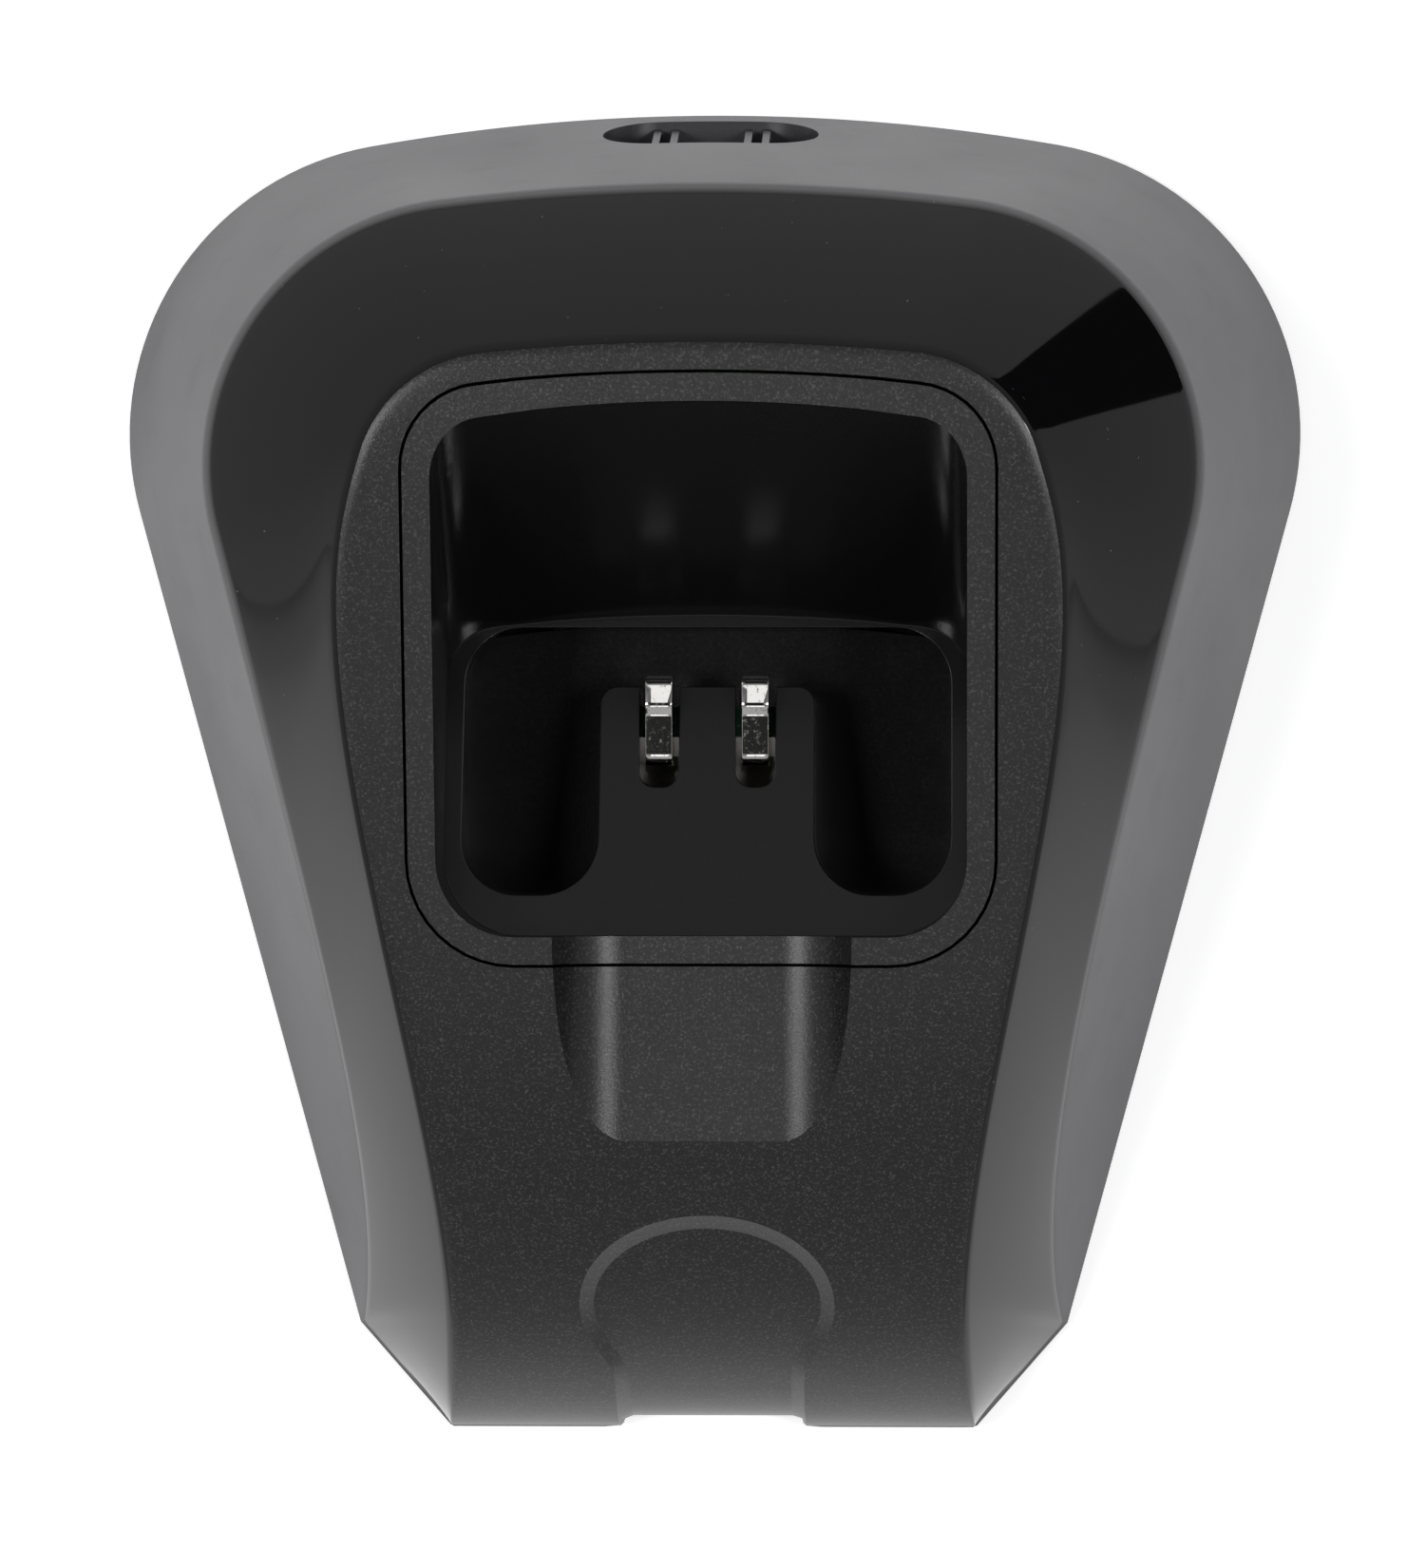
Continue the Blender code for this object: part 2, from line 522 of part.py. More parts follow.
def dome(name, inset=0.0):
    """The cradle's outer form as a solid, or the same form inset all over."""
    feet, edges, crowns = dome_edges(inset)
    below_edge, above_edge, middle, below_crown, inside_crown = [], [], [], [], []
    for foot, edge, crown in zip(feet, edges, crowns):
        width = (crown - edge).length
        down = min(EDGE_ROUND / max((edge - foot).length, 1e-9), 0.3)
        up = min(EDGE_ROUND / max(width, 1e-9), 0.25)
        below_edge.append(edge.lerp(foot, down))
        above_edge.append(edge.lerp(crown, up))
        middle.append(edge.lerp(crown, 0.5) + shoulder_swell(foot, crown, width))
        below_crown.append(crown.lerp(edge, 0.7 * up))
        inner_x = crown.x - EDGE_ROUND if crown.x > 2 * EDGE_ROUND else 0.5 * crown.x
        inside_crown.append(Vector((inner_x, crown.y, crown.z)))
    rings = [full_loop(line) for line in (feet, below_edge, above_edge, middle, below_crown, inside_crown)]
    if inset > 0.0:
        rings.insert(0, full_loop([Vector((p.x, p.y, BELOW)) for p in feet]))

    count = len(rings[0])
    verts = [point for ring in rings for point in ring]
    faces = [tuple(range(count))]
    for level in range(len(rings) - 1):
        low, high = level * count, (level + 1) * count
        faces += [(low + i, low + (i + 1) % count, high + (i + 1) % count, high + i) for i in range(count)]
    top = (len(rings) - 1) * count
    faces.append((top, top + 1, top + count - 1))
    for station in range(1, len(feet) - 1):
        left = count - station
        faces.append((top + station, top + station + 1, top + left - 1, top + left))
    return make_object(name, verts, faces)


def under_ramp(name, inset, half_width):
    """Everything below the ramped panel, as an extruded side profile."""
    nose_y = FRONT_Y + inset
    rear_y = PANEL_REAR_Y + 2 * WALL
    curve = []
    for step in range(NOSE_STEPS + 1):
        t = math.sin(math.pi / 2 * step / NOSE_STEPS)
        curve.append(rear_y + (nose_y - rear_y) * t)
    outline = [(y, ramp_height(y, inset)) for y in curve]
    outline += [(nose_y, BELOW), (rear_y, BELOW)]
    return side_profile(name, outline, half_width)


def pocket_outline(grow, rear_shift=0.0):
    """Plan of the pocket's opening, grown by a margin and with its rear edge moved."""
    half_width = POCKET_HALF_WIDTH + grow
    front = POCKET_FRONT_Y - grow
    rear = POCKET_REAR_Y + grow + rear_shift
    corner_y = rear - POCKET_ARCH
    shares = [0.6, 0.3, 0.0, -0.3, -0.6]
    arch = [(half_width * share, corner_y + POCKET_ARCH * (1 - share ** 2), 0.0) for share in shares]
    front_radius, rear_radius = POCKET_FRONT_RADIUS + grow, POCKET_REAR_RADIUS + grow
    corners = [(-half_width, front, front_radius), (half_width, front, front_radius),
               (half_width, corner_y, rear_radius)]
    corners += arch + [(-half_width, corner_y, rear_radius)]
    return rounded(corners)


def pocket_space(name, grow, floor):
    """The pocket's hollow: upright front and sides, leaning back wall, floor as a function."""
    rim_z = ramp_height(POCKET_REAR_Y)
    top_z = rim_z + FLANGE_WIDTH * 6
    bottom_z = WALL
    lean = math.tan(POCKET_LEAN)
    top = pocket_outline(grow, (top_z - rim_z) * lean)
    bottom = pocket_outline(grow, (bottom_z - rim_z) * lean)
    count = len(top)
    verts = [(x, y, bottom_z) for x, y in bottom] + [(x, y, top_z) for x, y in top]
    faces = [tuple(range(count - 1, -1, -1)), tuple(range(count, 2 * count))]
    faces += [(i, (i + 1) % count, count + (i + 1) % count, count + i) for i in range(count)]
    space = make_object(name, verts, faces)
    reach = POCKET_HALF_WIDTH * 2
    slab = [(-FAR, -FAR / 2), (FAR, -FAR / 2), (FAR, floor(FAR)), (-FAR, floor(-FAR))]
    return cut(space, side_profile(name + "_floor", slab, reach))


def trough_space(name, grow, front_y, rear_y):
    """The trough's hollow, or its outer form when grown by a wall."""
    half_width = TROUGH_HALF_WIDTH + grow
    floor = TROUGH_FLOOR_Z - grow
    fillet = TROUGH_FILLET + grow
    outline = [(half_width, FAR)]
    for step in range(ARC_STEPS + 1):
        angle = math.pi / 2 * step / ARC_STEPS
        outline.append((half_width - fillet * (1 - math.cos(angle)), floor + fillet * (1 - math.sin(angle))))
    outline += [(-x, z) for x, z in reversed(outline)]
    return rear_profile(name, outline, front_y, rear_y)


def scoop_outline():
    """Plan of the thumb scoop: a round arch that narrows to a neck at the front edge."""
    right = []
    for step in range(2 * ARC_STEPS):
        angle = math.pi / 2 - SCOOP_TURN * step / (2 * ARC_STEPS - 1)
        right.append((SCOOP_HALF_WIDTH * math.cos(angle), SCOOP_CENTRE_Y + SCOOP_ARCH * math.sin(angle)))
    start = right[-1]
    neck = (SCOOP_NECK_HALF_WIDTH, SCOOP_NECK_Y)
    fall = (start[1] - neck[1]) / 2
    leave = (start[0] - 0.6 * fall, start[1] - fall)
    right += bezier(start, leave, (neck[0], neck[1] + fall), neck, ARC_STEPS)
    right.append((SCOOP_NECK_HALF_WIDTH, FRONT_Y - WALL))
    return right + [(-x, y) for x, y in reversed(right) if x > 1e-9]


def four_places(rear, front):
    """A rear and a front place and their mirror images, as (label, x, y)."""
    named = []
    for row, (x, y) in (("rear", rear), ("front", front)):
        named += [(row + "_right", x, y), (row + "_left", -x, y)]
    return named


# ================================================================ the pieces
def build_upper_housing():
    """The moulded upper housing: skirt, glossy shoulder and textured ramp in one shell."""
    shell = cut(dome("upper_housing"), dome("inside", WALL))
    tub = trough_space("tub", WALL, FRONT_Y + WALL, POCKET_FRONT_Y)
    shell = join(shell, keep_inside(tub, under_ramp("tub_top", WALL / 2, FAR)))
    boss_radius = SCREW_SHANK_RADIUS + BOSS_WALL
    pilot_radius = SCREW_SHANK_RADIUS + GAP
    pillars = [(x, y, SCREW_WELL_TOP_Z + GAP, HEM_Z + SCREW_SINK + SCREW_HEAD_HEIGHT + SCREW_LENGTH)
               for _, x, y in four_places(REAR_SCREW, FRONT_SCREW)]
    pillars += [(side * CUP_SCREW_X, CUP_SCREW_Y, CUP_LUG_Z + CUP_WALL + GAP, CUP_LUG_Z + CUP_SCREW_LENGTH)
                for side in (1, -1)]
    for x, y, foot_z, _ in pillars:
        pillar = disc("pillar", x, y, boss_radius, foot_z, FAR)
        shell = join(shell, keep_inside(pillar, dome("pillar_top", WALL / 2)))
    for x, y, _, point_z in pillars:
        shell = cut(shell, disc("pilot", x, y, pilot_radius, 0.0, point_z + PILOT_MARGIN))
    shell = cut(shell, prism("aperture", pocket_outline(FLANGE_WIDTH + GAP), CUP_LUG_Z - CUP_WALL, FAR))
    shell = cut(shell, trough_space("trough", 0.0, FRONT_Y + WALL, POCKET_FRONT_Y))
    scoop = prism("scoop", scoop_outline(), BELOW, FAR)
    shell = cut(shell, cut(scoop, under_ramp("scoop_floor", SCOOP_DEPTH, FAR)))
    corners = [(-PORT_HALF_WIDTH, PORT_BOTTOM_Z), (PORT_HALF_WIDTH, PORT_BOTTOM_Z),
               (PORT_HALF_WIDTH, PORT_TOP_Z), (-PORT_HALF_WIDTH, PORT_TOP_Z)]
    port = rounded([(x, z, PORT_RADIUS) for x, z in corners])
    shell = cut(shell, rear_profile("port", port, REAR_Y - SKIRT_REAR_INSET - WALL, REAR_Y + WALL))
    return finish(shell, "upper_housing", (0.030, 0.030, 0.033), 0.45)


def cup_lug_outline(side):
    """Plan of one screw lug: an arm from the cup's wall to a tapered end round the screw."""
    root_x = side * (POCKET_HALF_WIDTH + ROOT_SINK)
    tip_x = side * (CUP_SCREW_X + SCREW_SHANK_RADIUS + CUP_LUG_RIM)
    half, tip = CUP_LUG_HALF_LENGTH, CUP_LUG_HALF_LENGTH - CUP_LUG_RIM
    front = [(root_x, CUP_SCREW_Y - half), (side * CUP_SCREW_X, CUP_SCREW_Y - half),
             (tip_x, CUP_SCREW_Y - tip)]
    return front + [(x, 2 * CUP_SCREW_Y - y) for x, y in reversed(front)]


def wells_outline():
    """Plan of the hollow round the pedestal: a well on each side, joined behind it."""
    side_x = POCKET_HALF_WIDTH - WELL_INSET
    rear_y = back_wall_foot_y() - WELL_REAR_MARGIN
    bend, nib = WELL_CORNER_RADIUS, PEDESTAL_CORNER_RADIUS
    left = [(-side_x, WELL_FRONT_Y, bend), (-PEDESTAL_HALF_WIDTH, WELL_FRONT_Y, bend),
            (-PEDESTAL_HALF_WIDTH, PEDESTAL_REAR_Y, nib)]
    right = [(-x, y, radius) for x, y, radius in reversed(left)]
    return rounded(left + right + [(side_x, rear_y, bend), (-side_x, rear_y, bend)])


def slot_outline(side):
    """Plan of one contact slot: round in front, open at the pedestal's rear face."""
    centre, half = side * CONTACT_PITCH / 2, SLOT_WIDTH / 2
    rear_y = PEDESTAL_REAR_Y + ROOT_SINK
    return rounded([(centre - half, SLOT_FRONT_Y, 0.8 * half), (centre + half, SLOT_FRONT_Y, 0.8 * half),
                    (centre + half, rear_y, 0.0), (centre - half, rear_y, 0.0)])


def cup_body():
    """The cup before it is hollowed: tub, flange, end of the trough and screw lugs."""
    tub = pocket_space("handset_cup", CUP_WALL, lambda y: WELL_FLOOR_Z - CUP_WALL)
    tub = keep_inside(tub, under_ramp("tub_top", GAP, FAR))
    flange = prism("flange", pocket_outline(FLANGE_WIDTH), TROUGH_FLOOR_Z, FAR)
    flange = keep_inside(flange, under_ramp("flange_top", 0.0, FAR))
    flange = cut(flange, under_ramp("flange_under", WALL, 1.1 * FAR))
    cup = join(tub, flange)
    rear_y = POCKET_FRONT_Y + CUP_WALL
    trough_end = trough_space("trough_end", CUP_WALL, POCKET_FRONT_Y - FLANGE_WIDTH, rear_y)
    cup = join(cup, keep_inside(trough_end, under_ramp("trough_top", GAP, FAR)))
    relief = box("front_relief", (-FAR, POCKET_FRONT_Y - 2 * FLANGE_WIDTH, 0.0),
                 (FAR, WELL_FRONT_Y - CUP_WALL, LEDGE_FRONT_Z - CUP_WALL))
    cup = cut(cup, relief)
    for side in (1, -1):
        cup = join(cup, prism("lug", cup_lug_outline(side), CUP_LUG_Z, CUP_LUG_Z + CUP_WALL))
        cup = cut(cup, disc("lug_hole", side * CUP_SCREW_X, CUP_SCREW_Y, SCREW_SHANK_RADIUS + GAP,
                            CUP_LUG_Z - CUP_WALL, CUP_LUG_Z + 2 * CUP_WALL))
    return cup


def build_handset_cup():
    """The cup the handset stands in, with its flange, wells, pedestal and contact slots."""
    cup = cut(cup_body(), pocket_space("pocket", 0.0, ledge_height))
    cup = cut(cup, prism("wells", wells_outline(), WELL_FLOOR_Z, LEDGE_FRONT_Z + CUP_WALL))
    inner_x, inner_y = PEDESTAL_HALF_WIDTH - CUP_WALL, PEDESTAL_REAR_Y - CUP_WALL
    front_y = WELL_FRONT_Y - CUP_WALL - 2 * ROOT_SINK
    hollow = [(-inner_x, front_y), (inner_x, front_y), (inner_x, inner_y), (-inner_x, inner_y)]
    cup = cut(cup, prism("hollow", hollow, 0.0, lambda x, y: ledge_height(y) - CUP_WALL))
    slot_z = ledge_height(PEDESTAL_REAR_Y) - SLOT_DEPTH
    for side in (1, -1):
        cup = cut(cup, prism("slot", slot_outline(side), slot_z, LEDGE_FRONT_Z + CUP_WALL))
    cup = cut(cup, trough_space("trough", 0.0, FRONT_Y, POCKET_FRONT_Y + 2 * ROOT_SINK))
    return finish(cup, "handset_cup", (0.022, 0.022, 0.024), 0.6)


def build_base_cover():
    """The flat cover that closes the housing from below."""
    inside_z = HEM_Z + COVER_THICKNESS
    root_z = HEM_Z + ROOT_SINK
    slab = box("slab", (-FAR, -FAR, HEM_Z), (FAR, FAR, inside_z))
    cover = keep_inside(dome("base_cover", WALL + GAP), slab)
    screws = four_places(REAR_SCREW, FRONT_SCREW)
    for _, x, y in screws:
        cover = join(cover, disc("screw_well", x, y, SCREW_HEAD_RADIUS + BOSS_WALL, root_z, SCREW_WELL_TOP_Z))
    for x, y in board_screw_places():
        cover = join(cover, disc("standoff", x, y, STANDOFF_RADIUS, root_z, inside_z + STANDOFF_HEIGHT))
    half, rear_y = RIB_THICKNESS / 2, rib_rear_y()
    for x in [side * place for place in RIB_PLACES for side in (1, -1)]:
        rib = box("rib", (x - half, rear_y - RIB_LENGTH, root_z), (x + half, rear_y, inside_z + RIB_HEIGHT))
        cover = join(cover, rib)
    shank_radius = SCREW_SHANK_RADIUS + GAP
    for _, x, y in screws:
        sunk_z = HEM_Z + SCREW_SINK + SCREW_HEAD_HEIGHT + GAP
        cover = cut(cover, disc("head_space", x, y, SCREW_HEAD_RADIUS + GAP, 0.0, sunk_z))
        cover = cut(cover, disc("shank_space", x, y, shank_radius, 0.0, FAR))
    for x, y in board_screw_places():
        cover = cut(cover, disc("board_pilot", x, y, shank_radius, inside_z - COVER_THICKNESS / 2, FAR))
    for _, x, y in four_places(REAR_FOOT, FRONT_FOOT):
        cover = cut(cover, disc("foot_recess", x, y, FOOT_RADIUS + GAP, 0.0, HEM_Z + FOOT_RECESS))
    return finish(cover, "base_cover", (0.025, 0.025, 0.027), 0.6)


def rib_rear_y():
    """Rear end of the cord ribs, clear of the housing's leaning inner wall at their top."""
    draft = SKIRT_REAR_INSET / (SKIRT_TOP_Z - HEM_Z)
    return REAR_Y - 1.03 * WALL - draft * (COVER_THICKNESS + RIB_HEIGHT) - 2 * GAP


def board_screw_places():
    """The two screws that hold the board."""
    return ((BOARD_SCREW_X, BOARD_SCREW_Y), (-BOARD_SCREW_X, BOARD_SCREW_Y))


def contact_profile():
    """Side view of one sprung contact: riser, rising arm, flat crest and turned-down tip."""
    crest_y, crest_z = CONTACT_CREST_Y, ledge_height(CONTACT_CREST_Y) + CONTACT_CREST_RISE
    root_y, bend_z = CONTACT_ROOT_Y, ledge_height(CONTACT_ROOT_Y) - 2 * CONTACT_THICKNESS
    riser = [(root_y, CONTACT_ROOT_Z - CONTACT_ROOT_DEPTH), (root_y, bend_z - 0.6 * MM)]
    bend = [(root_y + 0.3 * MM, bend_z), (root_y + 0.9 * MM, bend_z + 0.4 * MM)]
    crest = [(crest_y - 1.6 * MM, crest_z - 0.5 * MM), (crest_y - 0.7 * MM, crest_z - 0.1 * MM),
             (crest_y + 0.3 * MM, crest_z), (crest_y + 1.0 * MM, crest_z - 0.3 * MM)]
    tip = [(crest_y + 1.5 * MM, crest_z - 1.0 * MM), (crest_y + 1.6 * MM, crest_z - 2.6 * MM)]
    path = [Vector(point) for point in riser + bend + crest + tip]
    upper, lower = [], []
    for index, here in enumerate(path):
        direction = path[min(index + 1, len(path) - 1)] - path[max(index - 1, 0)]
        offset = Vector((-direction.y, direction.x)).normalized() * (CONTACT_THICKNESS / 2)
        upper.append(tuple(here + offset))
        lower.append(tuple(here - offset))
    return upper + lower[::-1]


def build_contact(name, side):
    """One sprung charging contact, turning about its root."""
    strip = side_profile(name, contact_profile(), CONTACT_WIDTH / 2, side * CONTACT_PITCH / 2)
    origin = Vector((side * CONTACT_PITCH / 2, CONTACT_ROOT_Y, CONTACT_ROOT_Z))
    for vertex in strip.data.vertices:
        vertex.co -= origin
    strip.location = origin
    return finish(strip, name, (0.80, 0.79, 0.76), 0.15, 1.0)


def build_contact_carrier():
    """The moulded block that stands on the board and holds both contacts' roots."""
    half_width = PEDESTAL_HALF_WIDTH - CUP_WALL - GAP
    carrier = box("contact_carrier", (-half_width, CONTACT_ROOT_Y - CARRIER_FRONT, BOARD_TOP_Z + GAP),
                  (half_width, CONTACT_ROOT_Y + CARRIER_REAR, CONTACT_ROOT_Z - CONTACT_THICKNESS / 2))
    half_x = CONTACT_WIDTH / 2 + GAP
    half_y = CONTACT_THICKNESS / 2 + 0.5 * MM
    seat_z = CONTACT_ROOT_Z - CONTACT_ROOT_DEPTH - 0.4 * MM
    for side in (1, -1):
        centre = side * CONTACT_PITCH / 2
        seat = box("seat", (centre - half_x, CONTACT_ROOT_Y - half_y, seat_z),
                   (centre + half_x, CONTACT_ROOT_Y + half_y, FAR))
        carrier = cut(carrier, seat)
    return finish(carrier, "contact_carrier", (0.70, 0.68, 0.62), 0.5)


def build_circuit_board():
    """The charging circuit's board."""
    corners = [(-BOARD_HALF_WIDTH, BOARD_FRONT_Y), (BOARD_HALF_WIDTH, BOARD_FRONT_Y),
               (BOARD_HALF_WIDTH, BOARD_REAR_Y), (-BOARD_HALF_WIDTH, BOARD_REAR_Y)]
    outline = rounded([(x, y, BOARD_CORNER_RADIUS) for x, y in corners])
    board = prism("circuit_board", outline, BOARD_BOTTOM_Z, BOARD_TOP_Z)
    for x, y in board_screw_places():
        board = cut(board, disc("hole", x, y, SCREW_SHANK_RADIUS + GAP, 0.0, FAR))
    return finish(board, "circuit_board", (0.02, 0.16, 0.07), 0.4)


def build_power_inlet():
    """The inlet socket at the board's rear edge, open towards the rear port."""
    rear, low = BOARD_REAR_Y, BOARD_TOP_Z + GAP
    inlet = box("power_inlet", (-JACK_HALF_WIDTH, rear - JACK_LENGTH, low),
                (JACK_HALF_WIDTH, rear, low + JACK_HEIGHT))
    centre_z = low + JACK_HEIGHT / 2
    bore = rear_profile("bore", circle(0.0, centre_z, JACK_HOLE_RADIUS), rear - JACK_HOLE_DEPTH, rear + WALL)
    inlet = cut(inlet, bore)
    pin = rear_profile("pin", circle(0.0, centre_z, JACK_PIN_RADIUS, ROUND_STEPS // 2),
                       rear - JACK_HOLE_DEPTH - ROOT_SINK, rear - JACK_PIN_SINK)
    return finish(join(inlet, pin), "power_inlet", (0.012, 0.012, 0.012), 0.4)


def board_block(name, place, size, colour, roughness, corner_radius=0.0):
    """One upright block standing on the board."""
    half_x, half_y = size[0] / 2, size[1] / 2
    corners = [(place[0] + side * half_x, place[1] + end * half_y, corner_radius)
               for side, end in ((-1, -1), (1, -1), (1, 1), (-1, 1))]
    low = BOARD_TOP_Z + GAP
    return finish(prism(name, rounded(corners), low, low + size[2]), name, colour, roughness)


def build_board_parts():
    """The parts soldered to the board, one object each."""
    low = BOARD_TOP_Z + GAP
    capacitor = disc("capacitor", *CAPACITOR_PLACE, CAPACITOR_RADIUS, low, low + CAPACITOR_HEIGHT)
    finish(capacitor, "smoothing_capacitor", (0.02, 0.03, 0.10), 0.35)
    board_block("choke_coil", COIL_PLACE, COIL_SIZE, (0.05, 0.05, 0.05), 0.7, BOARD_CORNER_RADIUS)
    board_block("charge_regulator", REGULATOR_PLACE, REGULATOR_SIZE, (0.015, 0.015, 0.015), 0.5)
    board_block("resettable_fuse", FUSE_PLACE, FUSE_SIZE, (0.45, 0.35, 0.06), 0.5)
    for index in range(3):
        place = (RESISTOR_PLACE[0], RESISTOR_PLACE[1] + RESISTOR_PITCH * index)
        board_block("chip_resistor_%d" % (index + 1), place, RESISTOR_SIZE, (0.02, 0.02, 0.02), 0.5)
    board_block("blocking_diode", DIODE_PLACE, DIODE_SIZE, (0.02, 0.02, 0.02), 0.45)


def screw(name, place, head_low, head, length, point_up=True):
    """One self-tapping screw with a cross recess; head is its radius and height."""
    x, y = place
    radius, height = head
    head_high = head_low + height
    body = disc(name, x, y, radius, head_low, head_high)
    depth = 0.55 * height
    if point_up:
        shank = (head_high - GAP, head_high + length)
        recess = (head_low - height, head_low + depth)
    else:
        shank = (head_low - length, head_low + GAP)
        recess = (head_high - depth, head_high + height)
    body = join(body, disc("shank", x, y, SCREW_SHANK_RADIUS, *shank, 16))
    arm, half = 0.6 * radius, SCREW_RECESS_WIDTH / 2
    cross = box("cross", (x - arm, y - half, recess[0]), (x + arm, y + half, recess[1]))
    cross = join(cross, box("cross_arm", (x - half, y - arm, recess[0]), (x + half, y + arm, recess[1])))
    return finish(cut(body, cross), name, (0.45, 0.45, 0.47), 0.3, 1.0)


def build_screws():
    """All screws: four for the cover, two for the cup and two for the board."""
    head = (SCREW_HEAD_RADIUS, SCREW_HEAD_HEIGHT)
    for label, x, y in four_places(REAR_SCREW, FRONT_SCREW):
        screw("cover_screw_" + label, (x, y), HEM_Z + SCREW_SINK, head, SCREW_LENGTH)
    for label, side in (("right", 1), ("left", -1)):
        place = (side * CUP_SCREW_X, CUP_SCREW_Y)
        screw("cup_screw_" + label, place, CUP_LUG_Z - SCREW_HEAD_HEIGHT - GAP, head, CUP_SCREW_LENGTH)
    for place, label in zip(board_screw_places(), ("right", "left")):
        screw("board_screw_" + label, place, BOARD_TOP_Z + GAP, BOARD_SCREW_HEAD, BOARD_SCREW_LENGTH, False)


def build_feet():
    """Four rubber feet in the cover's recesses; their lower faces stand on the table."""
    for label, x, y in four_places(REAR_FOOT, FRONT_FOOT):
        foot = disc("foot", x, y, FOOT_RADIUS, 0.0, HEM_Z + FOOT_RECESS - GAP)
        finish(foot, "foot_" + label, (0.03, 0.03, 0.03), 0.85)


def build_rating_label():
    """The blank label on the underside."""
    half_x, half_y = LABEL_HALF_SIZE
    corners = [(-half_x, -half_y), (half_x, -half_y), (half_x, half_y), (-half_x, half_y)]
    outline = rounded([(x, y, LABEL_RADIUS) for x, y in corners])
    label = prism("label", outline, HEM_Z - GAP - LABEL_THICKNESS, HEM_Z - GAP)
    finish(label, "rating_label", (0.62, 0.62, 0.60), 0.5)


def main():
    """Clears the file and builds every piece."""
    for obj in list(bpy.data.objects):
        bpy.data.objects.remove(obj)
    build_upper_housing()
    build_handset_cup()
    build_base_cover()
    build_contact("contact_right", 1)
    build_contact("contact_left", -1)
    build_contact_carrier()
    build_circuit_board()
    build_power_inlet()
    build_board_parts()
    build_screws()
    build_feet()
    build_rating_label()


main()
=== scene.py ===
"""Looks of a desktop charging cradle for a cordless phone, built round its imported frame.

Units are metres, +Z is up and +Y points to the rear of the cradle.  The visible shell, the cup, the
contacts, the cover, the feet and the label are modelled here; the inner pieces keep their CAD meshes
and get finishes.
"""
from __future__ import annotations

import logging
import math
from contextlib import contextmanager
from dataclasses import dataclass
from enum import Enum
from typing import Callable, Iterator, Sequence, Union

import bmesh
import bpy
from mathutils import Matrix, Vector

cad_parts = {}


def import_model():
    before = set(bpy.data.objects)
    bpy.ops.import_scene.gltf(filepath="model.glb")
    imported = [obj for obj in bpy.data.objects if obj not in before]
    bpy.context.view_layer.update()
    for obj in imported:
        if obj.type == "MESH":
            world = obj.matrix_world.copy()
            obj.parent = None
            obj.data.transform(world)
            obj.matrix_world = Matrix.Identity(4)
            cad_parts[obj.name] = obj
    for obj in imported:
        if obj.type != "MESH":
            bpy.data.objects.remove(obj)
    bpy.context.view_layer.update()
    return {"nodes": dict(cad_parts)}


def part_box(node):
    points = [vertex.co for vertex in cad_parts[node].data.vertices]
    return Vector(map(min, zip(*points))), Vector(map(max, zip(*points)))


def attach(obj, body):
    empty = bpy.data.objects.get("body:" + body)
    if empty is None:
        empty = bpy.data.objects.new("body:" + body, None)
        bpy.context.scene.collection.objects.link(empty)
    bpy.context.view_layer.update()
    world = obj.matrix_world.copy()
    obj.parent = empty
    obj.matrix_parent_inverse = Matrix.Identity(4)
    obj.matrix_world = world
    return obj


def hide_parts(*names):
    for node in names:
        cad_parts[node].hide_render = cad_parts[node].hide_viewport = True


LOG = logging.getLogger("cradle")
MM = 0.001
FAR = 90 * MM                    # reach of cutters beyond the cradle
CUT_BELOW = -9 * MM              # level of cutters below the table
HAIR = 0.05 * MM                 # how near an edge counts as lying in a surface
DOUBLE = 1e-6                    # how near two points count as one
SIDES = (1, -1)                  # right and left, as signs of x
Point2 = tuple[float, float]
Colour = tuple[float, float, float]


# ================================================================ modelling by operators
def pick_only(obj: bpy.types.Object) -> None:
    """Selects one object, makes it active and deselects all the others."""
    bpy.ops.object.select_all(action="DESELECT")
    obj.select_set(True)
    bpy.context.view_layer.objects.active = obj


class Part(Enum):
    """What an edit-mode selection is made of."""

    VERTS = "VERT"
    EDGES = "EDGE"
    FACES = "FACE"


@contextmanager
def editing(obj: bpy.types.Object, part: Part, wanted: Callable) -> Iterator[None]:
    """Edit mode on one object with the wanted verts, edges or faces selected.

    Args:
        obj: the object to edit.
        part: what is selected.
        wanted: says of each bmesh vert, edge or face whether it is selected.
    """
    pick_only(obj)
    bpy.ops.object.mode_set(mode="EDIT")
    bpy.ops.mesh.select_mode(type=part.value)
    bpy.ops.mesh.select_all(action="DESELECT")
    work = bmesh.from_edit_mesh(obj.data)
    work.normal_update()
    items = {Part.VERTS: work.verts, Part.EDGES: work.edges, Part.FACES: work.faces}[part]
    for item in [item for item in items if wanted(item)]:
        item.select_set(True)
    work.select_flush_mode()
    bmesh.update_edit_mesh(obj.data)
    try:
        yield
    finally:
        bpy.ops.object.mode_set(mode="OBJECT")


def everything(_item: object) -> bool:
    """Chooses every vert, edge or face."""
    return True


def apply_modifier(obj: bpy.types.Object, kind: str, **settings: object) -> bpy.types.Object:
    """Adds a modifier with its settings and applies it."""
    modifier = obj.modifiers.new(kind.lower(), kind)
    for name, value in settings.items():
        setattr(modifier, name, value)
    pick_only(obj)
    bpy.ops.object.modifier_apply(modifier=modifier.name)
    return obj


